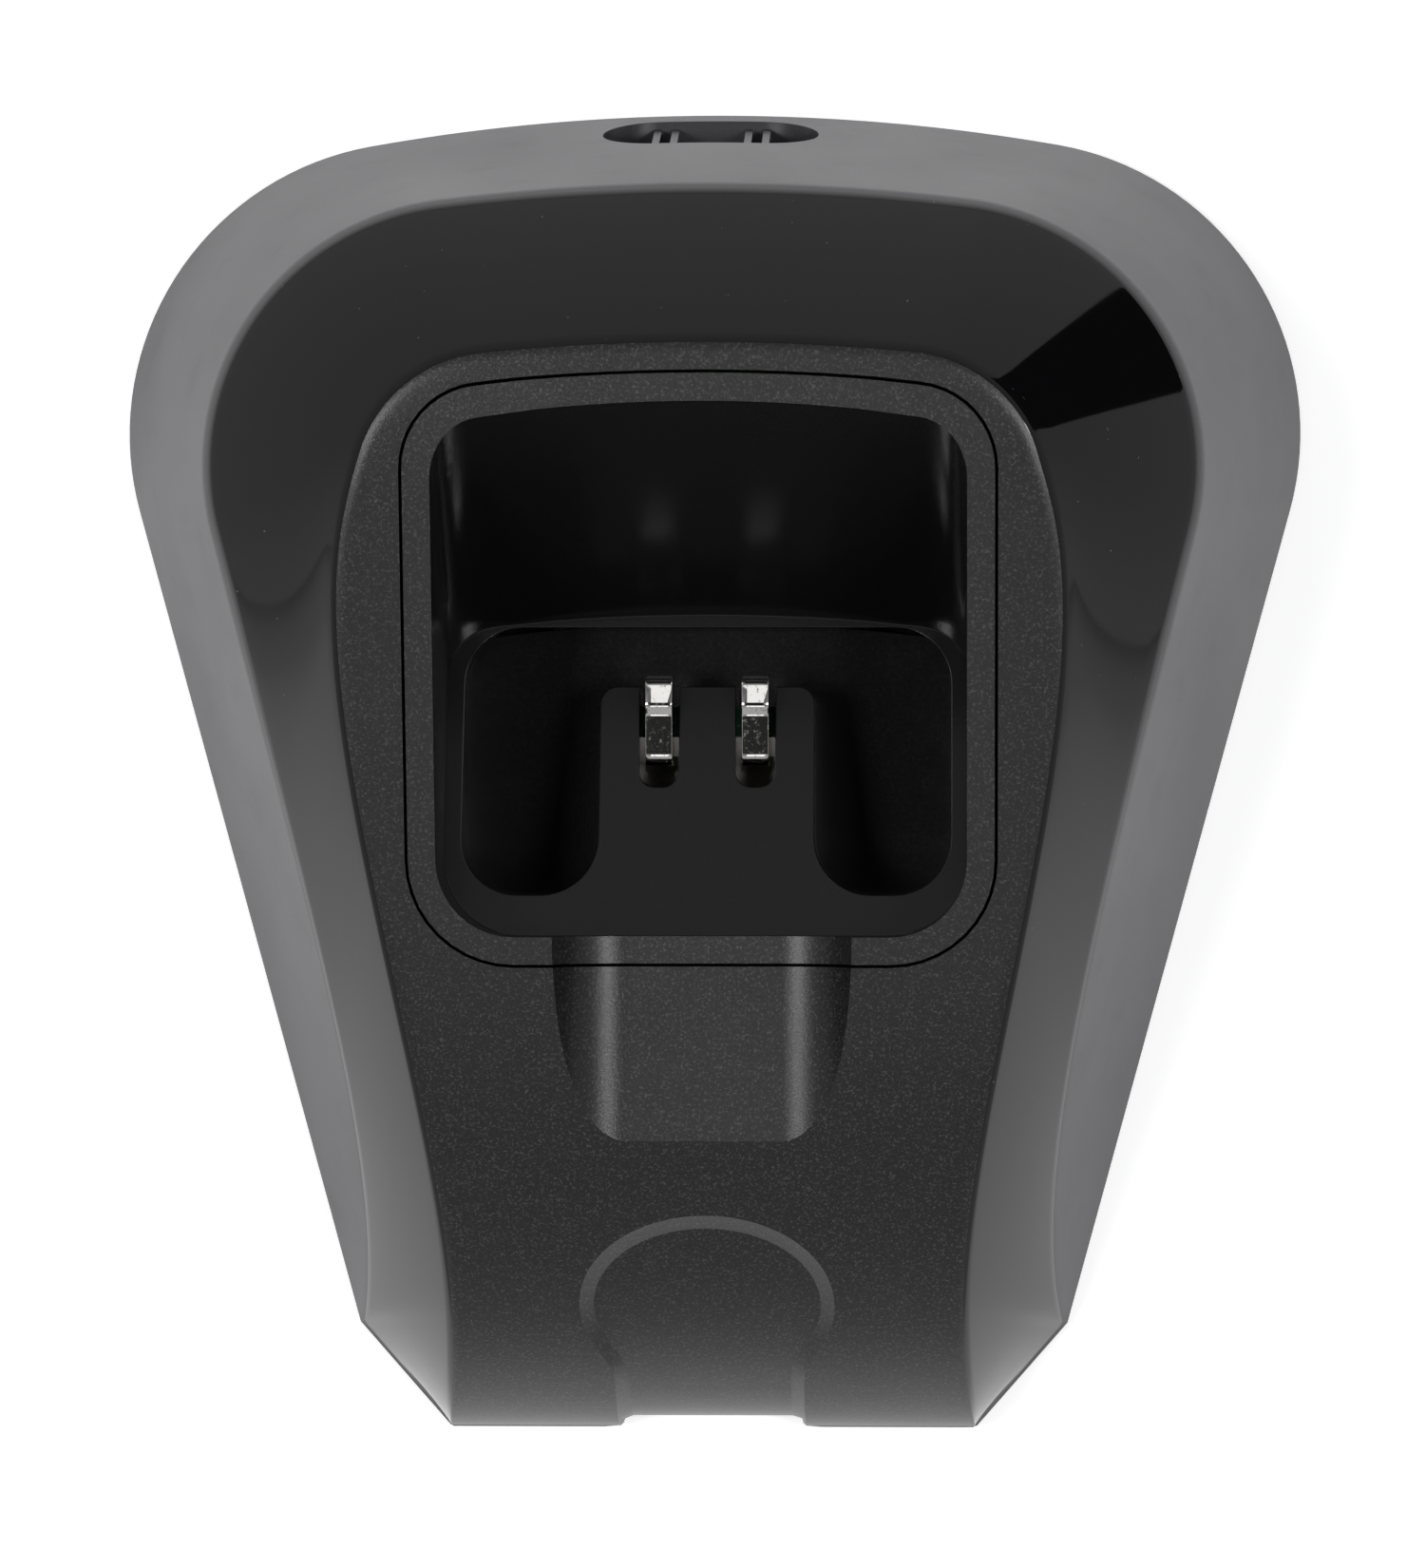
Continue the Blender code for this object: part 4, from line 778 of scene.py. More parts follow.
    def panel_outline(self, fine: Fineness, front_inset: float = 0.0) -> list[Vector]:
        """Right half of the textured panel's edge, station for station with the hem."""
        points = self.rear_and_corner(self.panel_rear_y, self.panel_rear_radius, self.panel_corner_radius,
                                      self.panel_half_width - self.panel_corner_inset,
                                      self.panel_corner_turn, fine)
        start = points[-1]
        widest = Vector((self.panel_half_width, self.panel_widest_y))
        waist = Vector((self.panel_waist_half_width, self.front_y + self.panel_waist_rise))
        upper = fine.side // 4
        rise, fall = start.y - widest.y, widest.y - waist.y
        leave, arrive, sink, land = self.panel_tension
        slant = Vector((-math.tan(self.panel_corner_turn), -1.0))
        points += bezier([start, start + slant * (leave * rise), widest + Vector((0.0, arrive * rise)),
                          widest], upper)
        points += bezier([widest, widest - Vector((0.0, sink * fall)), waist + Vector((0.0, land * fall)),
                          waist], fine.side - upper)
        end_y = self.front_y + self.panel_front_gap
        for step in range(1, fine.facet + 1):
            share = math.sin(math.pi / 2 * step / fine.facet)
            flare = (self.front_half_width - self.panel_flare_gap - waist.x) * share ** 2
            points.append(Vector((waist.x + flare, waist.y + (end_y - waist.y) * share)))
        roll_start = self.front_y + self.nose_length
        return [Vector((p.x, p.y + front_inset * min(max((roll_start - p.y) / self.nose_length, 0.0), 1.0)))
                for p in points]

    @staticmethod
    def moved_in(points: Sequence[Vector], distances: Sequence[float]) -> list[Vector]:
        """A half outline moved inwards by one distance for each point."""
        line = [Vector((-points[1].x, points[1].y)), *points, Vector((-points[-1].x, points[-1].y))]
        moved = []
        for before, here, after, distance in zip(line, line[1:], line[2:], distances):
            first, second = (here - before).normalized(), (after - here).normalized()
            first, second = Vector((first.y, -first.x)), Vector((second.y, -second.x))
            normal = (first + second).normalized()
            point = here + normal * (distance / normal.dot(first))
            moved.append(Vector((max(point.x, 0.0), point.y)))
        return moved

    def inner_dome(self, name: str, inset: float) -> bpy.types.Object:
        """The space inside the housing: the outer form moved in by a wall, open downwards."""
        hem = self.moved_in(self.hem_outline(COARSE), [inset * self.wall_stretch] * 99)
        skirt = self.skirt_outline(COARSE)
        heights = [self.skirt_height(p.y) for p in skirt]
        tall = [min(1.0, (z - self.hem_z) / (10 * MM)) for z in heights]
        skirt = self.moved_in(skirt, [inset * (1.05 - 0.2 * share) for share in tall])
        panel = [Vector((max(p.x - 0.4 * inset * min(1.0, p.x / (20 * MM)), 0.0), p.y))
                 for p in self.panel_outline(COARSE, inset)]
        columns = []
        for h, s, z, share, p in zip(hem, skirt, heights, tall, panel):
            edge_z = max(self.hem_z + self.gap, z - 0.65 * inset * share)
            crown_z = self.ramp_height(p.y, inset)
            columns.append([Vector((h.x, h.y, CUT_BELOW)), Vector((h.x, h.y, self.hem_z - self.gap)),
                            Vector((s.x, s.y, edge_z)), Vector((p.x, p.y, crown_z)),
                            Vector((0.0, p.y, crown_z))])
        return closed_half(name, columns)

    def under_ramp(self, name: str, inset: float, half_width: float) -> bpy.types.Object:
        """Everything below the ramp, or below the surface that far inside it."""
        nose_y = self.front_y + inset
        rear_y = self.panel_rear_y + 2 * self.wall
        turns = [math.pi / 2 * step / self.inside_steps for step in range(self.inside_steps + 1)]
        line = [rear_y + (nose_y - rear_y) * math.sin(turn) for turn in turns]
        outline = [(y, self.ramp_height(y, inset)) for y in line]
        outline += [(nose_y, CUT_BELOW), (rear_y, CUT_BELOW)]
        return prism(name, outline, -half_width, half_width, "X")


def closed_half(name: str, columns: Sequence[Sequence[Vector]],
                zones: Sequence[int] = ()) -> bpy.types.Object:
    """A solid from the columns of its right half, mirrored and closed in front and below.

    Args:
        name: the object's name.
        columns: one list of points for each station, from the foot up to the middle line.
        zones: the material index of each row of faces, from the foot up.

    Returns:
        The closed solid, its foot flat.
    """
    last = columns[-1]
    reach = last[0].x
    for point in last:
        reach = min(reach, point.x)
        point.x, point.y = reach, last[0].y
    obj = sheet(name, [list(row) for row in zip(*columns)])
    for vertex in obj.data.vertices:
        if abs(vertex.co.x) < 1e-7:
            vertex.co.x = 0.0
    for face in obj.data.polygons:
        row = face.index // (len(columns) - 1)
        face.material_index = zones[row] if zones else 0
    apply_modifier(obj, "MIRROR", merge_threshold=DOUBLE)
    face_outwards(obj)
    front_y = last[0].y

    def at_front(edge: bmesh.types.BMEdge) -> bool:
        """Chooses the open edges of the front profile."""
        return edge.is_boundary and all(abs(vert.co.y - front_y) < DOUBLE for vert in edge.verts)

    for wanted in (at_front, lambda edge: edge.is_boundary):
        with editing(obj, Part.EDGES, wanted):
            bpy.ops.mesh.edge_face_add()
    return face_outwards(obj)


# ================================================================ the housing
class Zone(Enum):
    """Surface zones of the housing and their material index."""

    SKIRT = 0
    SHOULDER = 1
    PANEL = 2


@dataclass
class Housing:
    """The moulded upper housing: skirt, glossy shoulder, textured ramp, trough, scoop and port."""

    form: CradleForm
    finishes: Finishes
    skirt_round: float = 1.3 * MM
    crown_round: float = 1.1 * MM
    bulge: float = 0.010
    bulge_width: float = 8 * MM
    support_step: float = 0.8 * MM
    nose_fade: float = 6 * MM
    wall_rows: int = 9
    round_rows: int = 6
    shoulder_rows: int = 12
    pocket_half_width: float = 24.2 * MM
    pocket_front_y: float = -15.3 * MM
    pocket_rear_y: float = 33.1 * MM
    pocket_arch: float = 1.9 * MM
    pocket_front_radius: float = 7 * MM
    pocket_rear_radius: float = 5 * MM
    flange: float = 2.5 * MM
    trough_half_width: float = 13.7 * MM
    trough_fillet: float = 6.6 * MM
    trough_floor_z: float = 30.3 * MM
    trough_steps: int = 14
    scoop_depth: float = 1.0 * MM
    scoop_draft: float = 1.3 * MM
    scoop_half_width: float = 10.6 * MM
    scoop_arch: float = 7.4 * MM
    scoop_neck_half_width: float = 7.6 * MM
    scoop_centre: float = 12.8 * MM
    scoop_neck: float = 4.2 * MM
    scoop_sweep: float = 115.0
    scoop_steps: int = 24
    port_half_width: float = 10.2 * MM
    port_z: tuple[float, float] = (4 * MM, 15 * MM)
    port_radius: float = 5.3 * MM
    port_reach: tuple[float, float] = (-12 * MM, 2 * MM)
    rib_sink: float = 0.8 * MM
    rib_depth: float = 1.0 * MM
    rib_overlap: float = 1.0 * MM
    pillar_feet: tuple[float, ...] = (7.5 * MM, 7.5 * MM, 28.1 * MM)
    pillar_radius: float = 3.1 * MM
    pilot_depth: float = 6 * MM
    aperture_foot_z: float = 24 * MM
    cut_round: float = 0.22 * MM
    cut_sharp: float = 11.0
    port_round: float = 0.35 * MM
    shade_angle: float = 18.0
    hole_sides: int = 8

    def column(self, foot: Vector, edge: Vector, crown: Vector, inward: Vector) -> list[Vector]:
        """Points of one station, from the hem over the skirt and the shoulder to the middle line."""
        width = (crown - edge).length
        height = (edge - foot).length
        round_low = min(self.skirt_round, 0.4 * height, 0.4 * width)
        round_high = min(self.crown_round, 0.3 * width)
        up = (edge - foot).normalized() if height > 1e-9 else Vector((0, 0, 1))
        out = Vector((foot.x - crown.x, foot.y - crown.y, 0.0))
        out = out.normalized() if out.length > 1e-9 else Vector((0, 0, 0))
        swell = 2 * self.bulge * width * (out + Vector((0, 0, 1))) * min(1.0, width / self.bulge_width)
        middle = edge.lerp(crown, 0.5) + swell
        leave = (middle - edge).normalized() if width > 1e-9 else up
        arrive = (crown - middle).normalized() if width > 1e-9 else up
        wall_end = edge - up * round_low
        shoulder_start = edge + leave * round_low
        shoulder_end = crown - arrive * round_high
        inside = self.on_ramp(crown, inward, round_high)
        support = self.on_ramp(crown, inward, round_high + self.support_step)
        line = [foot] + [foot.lerp(wall_end, (i + 1) / self.wall_rows) for i in range(self.wall_rows)]
        line += bezier([wall_end, edge, shoulder_start], self.round_rows)
        line += bezier([shoulder_start, middle, shoulder_end], self.shoulder_rows)
        line += bezier([shoulder_end, crown, inside], self.round_rows)
        return line + [support, Vector((0.0, support.y, support.z))]

    def on_ramp(self, crown: Vector, inward: Vector, distance: float) -> Vector:
        """A point of the ramp that far inside the panel's edge."""
        x = max(crown.x + inward.x * distance, 0.0)
        y = max(crown.y + inward.y * distance, self.form.front_y + 0.05 * MM)
        return Vector((x, y, self.form.ramp_height(y)))

    def outer_form(self) -> bpy.types.Object:
        """The solid outer form with its three zones."""
        form = self.form
        curves = (form.hem_outline, form.skirt_outline, form.panel_outline)
        hem, skirt, panel = (curve(FINE) for curve in curves)
        columns = []
        for index, (h, s, p) in enumerate(zip(hem, skirt, panel)):
            before, after = panel[max(index - 1, 0)], panel[min(index + 1, len(panel) - 1)]
            along = (after - before).normalized()
            inward = Vector((0.0, -1.0)) if index == 0 else Vector((along.y, -along.x))
            inward *= min(1.0, (p.y - form.front_y) / self.nose_fade)
            foot = Vector((h.x, h.y, form.hem_z))
            edge = Vector((s.x, s.y, form.skirt_height(s.y)))
            crown = Vector((p.x, p.y, form.ramp_height(p.y)))
            columns.append(self.column(foot, edge, crown, inward))
        half_round = self.round_rows // 2
        zones = [Zone.SKIRT.value] * (self.wall_rows + half_round)
        zones += [Zone.SHOULDER.value] * (2 * half_round + self.shoulder_rows)
        zones += [Zone.PANEL.value] * (half_round + 2)
        body = closed_half("upper_housing", columns, zones)
        return dress(body, self.finishes.skirt.material(), self.finishes.shoulder.material(),
                     self.finishes.panel.material())

    def paint_cuts(self, body: bpy.types.Object) -> None:
        """Gives the faces that the cutters left inside the panel the panel's zone."""
        panel = self.form.panel_outline(FINE)
        for face in body.data.polygons:
            within = self.inside(panel, abs(face.center.x), face.center.y)
            if within and face.material_index == Zone.SKIRT.value:
                face.material_index = Zone.PANEL.value

    @staticmethod
    def inside(half: Sequence[Vector], x: float, y: float) -> bool:
        """Says whether a point of the right half lies inside a half outline."""
        crossings = 0
        for a, b in zip(half, half[1:]):
            if (a.y > y) != (b.y > y):
                crossings += x < a.x + (y - a.y) * (b.x - a.x) / (b.y - a.y)
        return crossings % 2 == 1

    def pocket_outline(self, grow: float, rear_shift: float = 0.0) -> list[Point2]:
        """Plan of the pocket's opening, grown by a margin and with its rear edge moved."""
        half = self.pocket_half_width + grow
        front, rear = self.pocket_front_y - grow, self.pocket_rear_y + grow + rear_shift
        corner_y = rear - self.pocket_arch
        shares = [0.6 - step / 10 for step in range(13)]
        arch = [(half * share, corner_y + self.pocket_arch * (1 - share ** 2), 0.0) for share in shares]
        fore, aft = self.pocket_front_radius + grow, self.pocket_rear_radius + grow
        return rounded([(-half, front, fore), (half, front, fore), (half, corner_y, aft), *arch,
                        (-half, corner_y, aft)])

    def trough_space(self, name: str, grow: float, front_y: float, rear_y: float) -> bpy.types.Object:
        """The trough's hollow, or its outer form when grown by a wall."""
        half, floor = self.trough_half_width + grow, self.trough_floor_z - grow
        fillet = self.trough_fillet + grow
        outline = [(half, FAR)]
        for step in range(self.trough_steps + 1):
            angle = math.pi / 2 * step / self.trough_steps
            outline.append((half - fillet * (1 - math.cos(angle)),
                            floor + fillet * (1 - math.sin(angle))))
        outline += [(-x, z) for x, z in reversed(outline)]
        return prism(name, outline, front_y, rear_y, "Y")

    def scoop_outline(self) -> list[Vector]:
        """Right half of the thumb scoop's floor: a round arch that narrows to a neck in front."""
        front_y = self.form.front_y
        centre_y, neck_y = front_y + self.scoop_centre, front_y + self.scoop_neck
        points = []
        for step in range(self.scoop_steps + 1):
            angle = math.radians(90 - self.scoop_sweep * step / self.scoop_steps)
            points.append(Vector((self.scoop_half_width * math.cos(angle),
                                  centre_y + self.scoop_arch * math.sin(angle))))
        start, neck = points[-1], Vector((self.scoop_neck_half_width, neck_y))
        fall = (start.y - neck_y) / 2
        points += bezier([start, start - Vector((0.6 * fall, fall)), neck + Vector((0.0, fall)), neck], 10)
        points += [Vector((neck.x, neck_y + (front_y - neck_y) * (i + 1) / 12)) for i in range(12)]
        return points + [Vector((neck.x, front_y - 2 * MM))]

    def scoop_space(self) -> bpy.types.Object:
        """The scoop's hollow with slanted sides: its floor follows the ramp a little below it."""
        form, depth = self.form, self.scoop_depth
        line = self.scoop_outline()
        columns = []
        for index, here in enumerate(line):
            before, after = line[max(index - 1, 0)], line[min(index + 1, len(line) - 1)]
            along = (after - before).normalized()
            side = Vector((0.0, 1.0)) if index == 0 else Vector((-along.y, along.x))
            floor_z = form.ramp_height(max(here.y, form.front_y + depth + 0.01 * MM), depth)
            if here.y < form.front_y + depth:
                floor_z = CUT_BELOW
            rim = here + side * self.scoop_draft
            wide = here + side * (self.scoop_draft * 2.2)
            rim_z = form.ramp_height(max(rim.y, form.front_y + 0.01 * MM))
            columns.append([Vector((0.0, here.y, FAR)), Vector((wide.x, wide.y, FAR)),
                            Vector((wide.x, wide.y, rim_z + depth * 1.2)), Vector((rim.x, rim.y, rim_z)),
                            Vector((here.x, here.y, floor_z)), Vector((0.0, here.y, floor_z))])
        obj = sheet("scoop", [list(row) for row in zip(*columns)])
        for vertex in obj.data.vertices:
            vertex.co.x = max(vertex.co.x, 0.0)
        apply_modifier(obj, "MIRROR", merge_threshold=DOUBLE)
        face_outwards(obj)
        with editing(obj, Part.EDGES, lambda edge: edge.is_boundary):
            bpy.ops.mesh.edge_face_add()
        return face_outwards(obj)

    def rib_profile(self) -> list[Point2]:
        """Side view of one cord rib in the port: a bar that leans with the wall, sunk a little in it."""
        form, low, high = self.form, *self.port_z
        ends = (low - self.rib_overlap, high + self.rib_overlap)
        outer = [(form.rear_y - form.rear_draft() * (z - form.hem_z) - self.rib_sink, z) for z in ends]
        return outer + [(y - self.rib_depth, z) for y, z in reversed(outer)]

    def add_pillars(self, body: bpy.types.Object) -> None:
        """Joins the screw pillars under the shell and cuts their pilot holes."""
        form = self.form
        screws = (*form.cover_screws, form.cup_screw)
        places = [(side * x, y, foot_z) for (x, y), foot_z in zip(screws, self.pillar_feet) for side in SIDES]
        for x, y, foot_z in places:
            pillar = disc("pillar", (x, y), self.pillar_radius, foot_z, FAR / 2, 32)
            join(body, keep_inside(pillar, form.inner_dome("pillar_top", form.wall / 2)))
        for x, y, foot_z in places:
            cut(body, disc("pilot", (x, y), form.shank_radius, 0.0, foot_z + self.pilot_depth, 24))

    def cut_port(self, body: bpy.types.Object) -> None:
        """Cuts the rear port and stands the cord ribs in it."""
        form, half, (low, high) = self.form, self.port_half_width, self.port_z
        corners = [(-half, low), (half, low), (half, high), (-half, high)]
        port = rounded([(x, z, self.port_radius) for x, z in corners], 14)
        near, far = (form.rear_y + reach for reach in self.port_reach)
        cut(body, prism("port", port, near, far, "Y"))
        for x in form.rib_lines():
            left, right = x - form.rib_thickness / 2, x + form.rib_thickness / 2
            join(body, prism("port_rib", self.rib_profile(), left, right, "X"))

    def build(self) -> bpy.types.Object:
        """Builds the housing, hollows it, cuts its openings and rounds their edges."""
        form = self.form
        body = self.outer_form()
        cut(body, form.inner_dome("inside", form.wall))
        tub = self.trough_space("tub", form.wall, form.front_y + form.wall, self.pocket_front_y)
        join(body, keep_inside(tub, form.under_ramp("tub_top", form.wall / 2, FAR)))
        self.add_pillars(body)
        opening = self.pocket_outline(self.flange + form.gap)
        cut(body, prism("aperture", opening, self.aperture_foot_z, FAR))
        cut(body, self.trough_space("trough", 0.0, form.front_y + form.wall, self.pocket_front_y))
        cut(body, self.scoop_space())
        self.cut_port(body)
        self.paint_cuts(body)
        self.round_openings(body)
        return smooth(close_holes(body, self.hole_sides), self.shade_angle)

    def round_openings(self, body: bpy.types.Object) -> None:
        """Rounds the edges of the trough, the scoop, the aperture and the port."""
        form, (low, high) = self.form, self.port_z

        def cut_in_ramp(middle: Vector) -> bool:
            """Chooses the edges that the cuts left in the ramp's surface."""
            near = abs(middle.z - form.ramp_height(middle.y)) < 1.2 * HAIR
            return near and middle.y > form.front_y + 10 * HAIR and abs(middle.x) < 28 * MM

        def round_port(middle: Vector) -> bool:
            """Chooses the edges of the port in the rear wall."""
            return (middle.y > form.rear_y - 5 * MM and abs(middle.x) < 12 * MM
                    and low - 10 * HAIR < middle.z < high + 10 * HAIR)

        round_edges(body, self.cut_round, self.cut_sharp, 2, cut_in_ramp)
        round_edges(body, self.port_round, 40.0, 2, round_port)


# ================================================================ the cup
@dataclass
class HandsetCup:
    """The cup the handset stands in: flange, leaning back wall, ledge, wells and pedestal."""

    form: CradleForm
    housing: Housing
    finishes: Finishes
    wall: float = 1.8 * MM
    lean: float = math.radians(30)
    ledge_front_z: float = 27 * MM
    ledge_slope: float = 0.385
    well_floor_z: float = 11 * MM
    well_inset: float = 1.4 * MM
    well_front_y: float = -11.6 * MM
    well_rear_margin: float = 1.2 * MM
    well_radius: float = 5.3 * MM
    pedestal_half_width: float = 10 * MM
    pedestal_rear_y: float = 7.8 * MM
    pedestal_radius: float = 1.6 * MM
    contact_pitch: float = 9 * MM
    slot_half_width: float = 1.85 * MM
    slot_front_y: float = -1.6 * MM
    slot_depth: float = 5.5 * MM
    lug_z: float = 26 * MM
    lug_half_length: float = 3.5 * MM
    lug_tip_x: float = 32.7 * MM
    lug_taper: float = 1.4 * MM
    rim_round: float = 0.5 * MM
    edge_round: float = 0.35 * MM

    def ledge_height(self, y: float) -> float:
        """Height of the sloping ledge and of the pedestal's top at y."""
        return self.ledge_front_z - self.ledge_slope * (y - self.housing.pocket_front_y)

    def back_wall_foot_y(self) -> float:
        """Where the leaning back wall meets the ledge, on the middle line."""
        rear_y = self.housing.pocket_rear_y
        rise = 1.0 / math.tan(self.lean)
        wall_at_origin = self.form.ramp_height(rear_y) - rear_y * rise
        return (self.ledge_height(0.0) - wall_at_origin) / (rise + self.ledge_slope)

    def pocket_space(self, name: str, grow: float, floor: Callable[[float], float]) -> bpy.types.Object:
        """The pocket's hollow: upright front and sides, leaning back wall, floor as a function of y."""
        rim_z = self.form.ramp_height(self.housing.pocket_rear_y)
        top_z, bottom_z = rim_z + 15 * MM, self.form.wall
        lean = math.tan(self.lean)
        outline = self.housing.pocket_outline(grow, (bottom_z - rim_z) * lean)
        space = prism(name, outline, bottom_z, top_z)
        middle_y = (min(y for _, y in outline) + max(y for _, y in outline)) / 2
        with editing(space, Part.VERTS, lambda vert: vert.co.z > rim_z and vert.co.y > middle_y):
            bpy.ops.transform.translate(value=(0.0, (top_z - bottom_z) * lean, 0.0))
        slab = [(-FAR, -FAR / 2), (FAR, -FAR / 2), (FAR, floor(FAR)), (-FAR, floor(-FAR))]
        return cut(space, prism("floor", slab, -FAR / 1.8, FAR / 1.8, "X"))

    def lug_outline(self, side: int) -> list[Point2]:
        """Plan of one screw lug, from the cup's wall to its tapered end."""
        half, (screw_x, screw_y) = self.lug_half_length, self.form.cup_screw
        front = [(side * (self.housing.pocket_half_width + 0.5 * MM), screw_y - half),
                 (side * screw_x, screw_y - half),
                 (side * self.lug_tip_x, screw_y - half + self.lug_taper)]
        return front + [(x, 2 * screw_y - y) for x, y in reversed(front)]

    def wells_outline(self) -> list[Point2]:
        """Plan of the hollow round the pedestal: a well on each side, joined behind it."""
        side_x = self.housing.pocket_half_width - self.well_inset
        rear_y = self.back_wall_foot_y() - self.well_rear_margin
        left = [(-side_x, self.well_front_y, self.well_radius),
                (-self.pedestal_half_width, self.well_front_y, self.well_radius),
                (-self.pedestal_half_width, self.pedestal_rear_y, self.pedestal_radius)]
        right = [(-x, y, radius) for x, y, radius in reversed(left)]
        rear = [(x, rear_y, self.well_radius) for x in (side_x, -side_x)]
        return rounded(left + right + rear)

    def slot_outline(self, side: int) -> list[Point2]:
        """Plan of one contact slot: round in front, open at the pedestal's rear face."""
        centre, half = side * self.contact_pitch / 2, self.slot_half_width
        rear_y, bend = self.pedestal_rear_y + 0.5 * MM, 0.8 * self.slot_half_width
        return rounded([(centre - half, self.slot_front_y, bend), (centre + half, self.slot_front_y, bend),
                        (centre + half, rear_y, 0.0), (centre - half, rear_y, 0.0)])

    def body(self) -> bpy.types.Object:
        """The cup before it is hollowed: tub, flange, end of the trough and screw lugs."""
        form, housing = self.form, self.housing
        front_y = housing.pocket_front_y
        tub = self.pocket_space("handset_cup", self.wall, lambda y: self.well_floor_z - self.wall)
        tub = keep_inside(tub, form.under_ramp("tub_top", form.gap, FAR))
        flange = prism("flange", housing.pocket_outline(housing.flange), housing.trough_floor_z, FAR)
        flange = keep_inside(flange, form.under_ramp("flange_top", 0.0, FAR))
        flange = cut(flange, form.under_ramp("flange_under", form.wall, 1.1 * FAR))
        cup = join(tub, flange)
        end = housing.trough_space("trough_end", self.wall, front_y - housing.flange, front_y + self.wall)
        cup = join(cup, keep_inside(end, form.under_ramp("trough_top", form.gap, FAR)))
        relief = box("relief", (-FAR, front_y - 2 * housing.flange, 0.0),
                     (FAR, self.well_front_y - self.wall, self.ledge_front_z - self.wall))
        cup = cut(cup, relief)
        screw_x, screw_y = form.cup_screw
        for side in SIDES:
            cup = join(cup, prism("lug", self.lug_outline(side), self.lug_z, self.lug_z + self.wall))
            cup = cut(cup, disc("lug_hole", (side * screw_x, screw_y), form.shank_radius,
                                self.lug_z - self.wall, self.lug_z + 2 * self.wall, 24))
        return cup

    def build(self) -> bpy.types.Object:
        """Builds the cup, hollows it and rounds the edges that show."""
        form, housing, front_y = self.form, self.housing, self.housing.pocket_front_y
        over_z = self.ledge_front_z + self.wall
        cup = cut(self.body(), self.pocket_space("pocket", 0.0, self.ledge_height))
        cup = cut(cup, prism("wells", self.wells_outline(), self.well_floor_z, over_z))
        inner_x, inner_y = self.pedestal_half_width - self.wall, self.pedestal_rear_y - self.wall
        hollow_front = self.well_front_y - self.wall - 1 * MM
        side_view = [(hollow_front, 0.0), (inner_y, 0.0), (inner_y, self.ledge_height(inner_y) - self.wall),
                     (hollow_front, self.ledge_height(hollow_front) - self.wall)]
        cup = cut(cup, prism("hollow", side_view, -inner_x, inner_x, "X"))
        slot_z = self.ledge_height(self.pedestal_rear_y) - self.slot_depth
        for side in SIDES:
            cup = cut(cup, prism("slot", self.slot_outline(side), slot_z, over_z))
        cup = cut(cup, housing.trough_space("trough", 0.0, form.front_y, front_y + 1 * MM))
        dress(cup, self.finishes.cup.material(), self.finishes.rim.material())
        for face in cup.data.polygons:
            top = form.ramp_height(face.center.y) - face.center.z
            on_rim = abs(top) < 4 * HAIR and face.normal.z > 0.8
            face.material_index = int(on_rim or face.center.y < front_y + HAIR)

        def on_mouth(middle: Vector) -> bool:
            """Chooses the edges of the pocket's mouth, in the ramp's surface."""
            return (abs(middle.x) < housing.pocket_half_width + 2 * HAIR
                    and front_y - 2 * HAIR < middle.y < housing.pocket_rear_y + 2 * HAIR
                    and abs(middle.z - form.ramp_height(middle.y)) < HAIR)

        def on_ledge(middle: Vector) -> bool:
            """Chooses the edges that the wells and the slots left in the ledge."""
            return (abs(middle.z - self.ledge_height(middle.y)) < HAIR
                    and abs(middle.x) < housing.pocket_half_width - 10 * HAIR
                    and middle.y > front_y + 10 * HAIR)

        round_edges(cup, self.rim_round, 40.0, 3, on_mouth)
        round_edges(cup, self.edge_round, 40.0, 2, on_ledge)
        return smooth(cup)


# ================================================================ small pieces
@dataclass
class ChargingContacts:
    """The two sprung leaf contacts, each a bent strip of nickel-plated bronze."""

    finishes: Finishes
    cup: HandsetCup
    root_y: float = 0.6 * MM
    root_z: float = 13.0 * MM
    riser: float = 1.2 * MM
    bend_sink: float = 0.55 * MM
    bend_radius: float = 1.1 * MM
    crest_y: float = 7.0 * MM
    crest_rise: float = 2.9 * MM
    crest_bends: tuple[tuple[float, float, float], ...] = (
        (-1.8 * MM, -0.45 * MM, 1.2 * MM), (-0.95 * MM, 0.0, 0.7 * MM),
        (1.25 * MM, -0.38 * MM, 0.6 * MM), (1.6 * MM, -2.6 * MM, 0.0))
    width: float = 2.5 * MM
    thickness: float = 0.4 * MM
    edge_round: float = 0.08 * MM

    def path(self) -> list[Point2]:
        """Side view of the strip's middle: riser, arm, crest and turned-down tip.

        Each crest bend is a place from the crest, as (y, z), and its radius.
        """
        crest_z = self.cup.ledge_height(self.crest_y) + self.crest_rise
        bend_z = self.cup.ledge_height(self.root_y) - self.bend_sink
        corners = [(self.root_y, self.root_z - self.riser, 0.0), (self.root_y, bend_z, self.bend_radius)]
        corners += [(self.crest_y + y, crest_z + z, radius) for y, z, radius in self.crest_bends]
        return rounded(corners, 9)

    def build(self, name: str) -> bpy.types.Object:
        """Builds the right contact: a thin sheet along the path, given its thickness and round edges."""
        centre = self.cup.contact_pitch / 2
        across = [centre + self.width * (step / 4 - 0.5) for step in range(5)]
        strip = sheet(name, [[Vector((x, y, z)) for x in across] for y, z in self.path()])
        apply_modifier(strip, "SOLIDIFY", thickness=self.thickness, offset=0.0, use_even_offset=True)
        face_outwards(strip)
        round_edges(strip, self.edge_round, 60.0, 2)
        return smooth(dress(strip, self.finishes.contact.material()), 40.0)


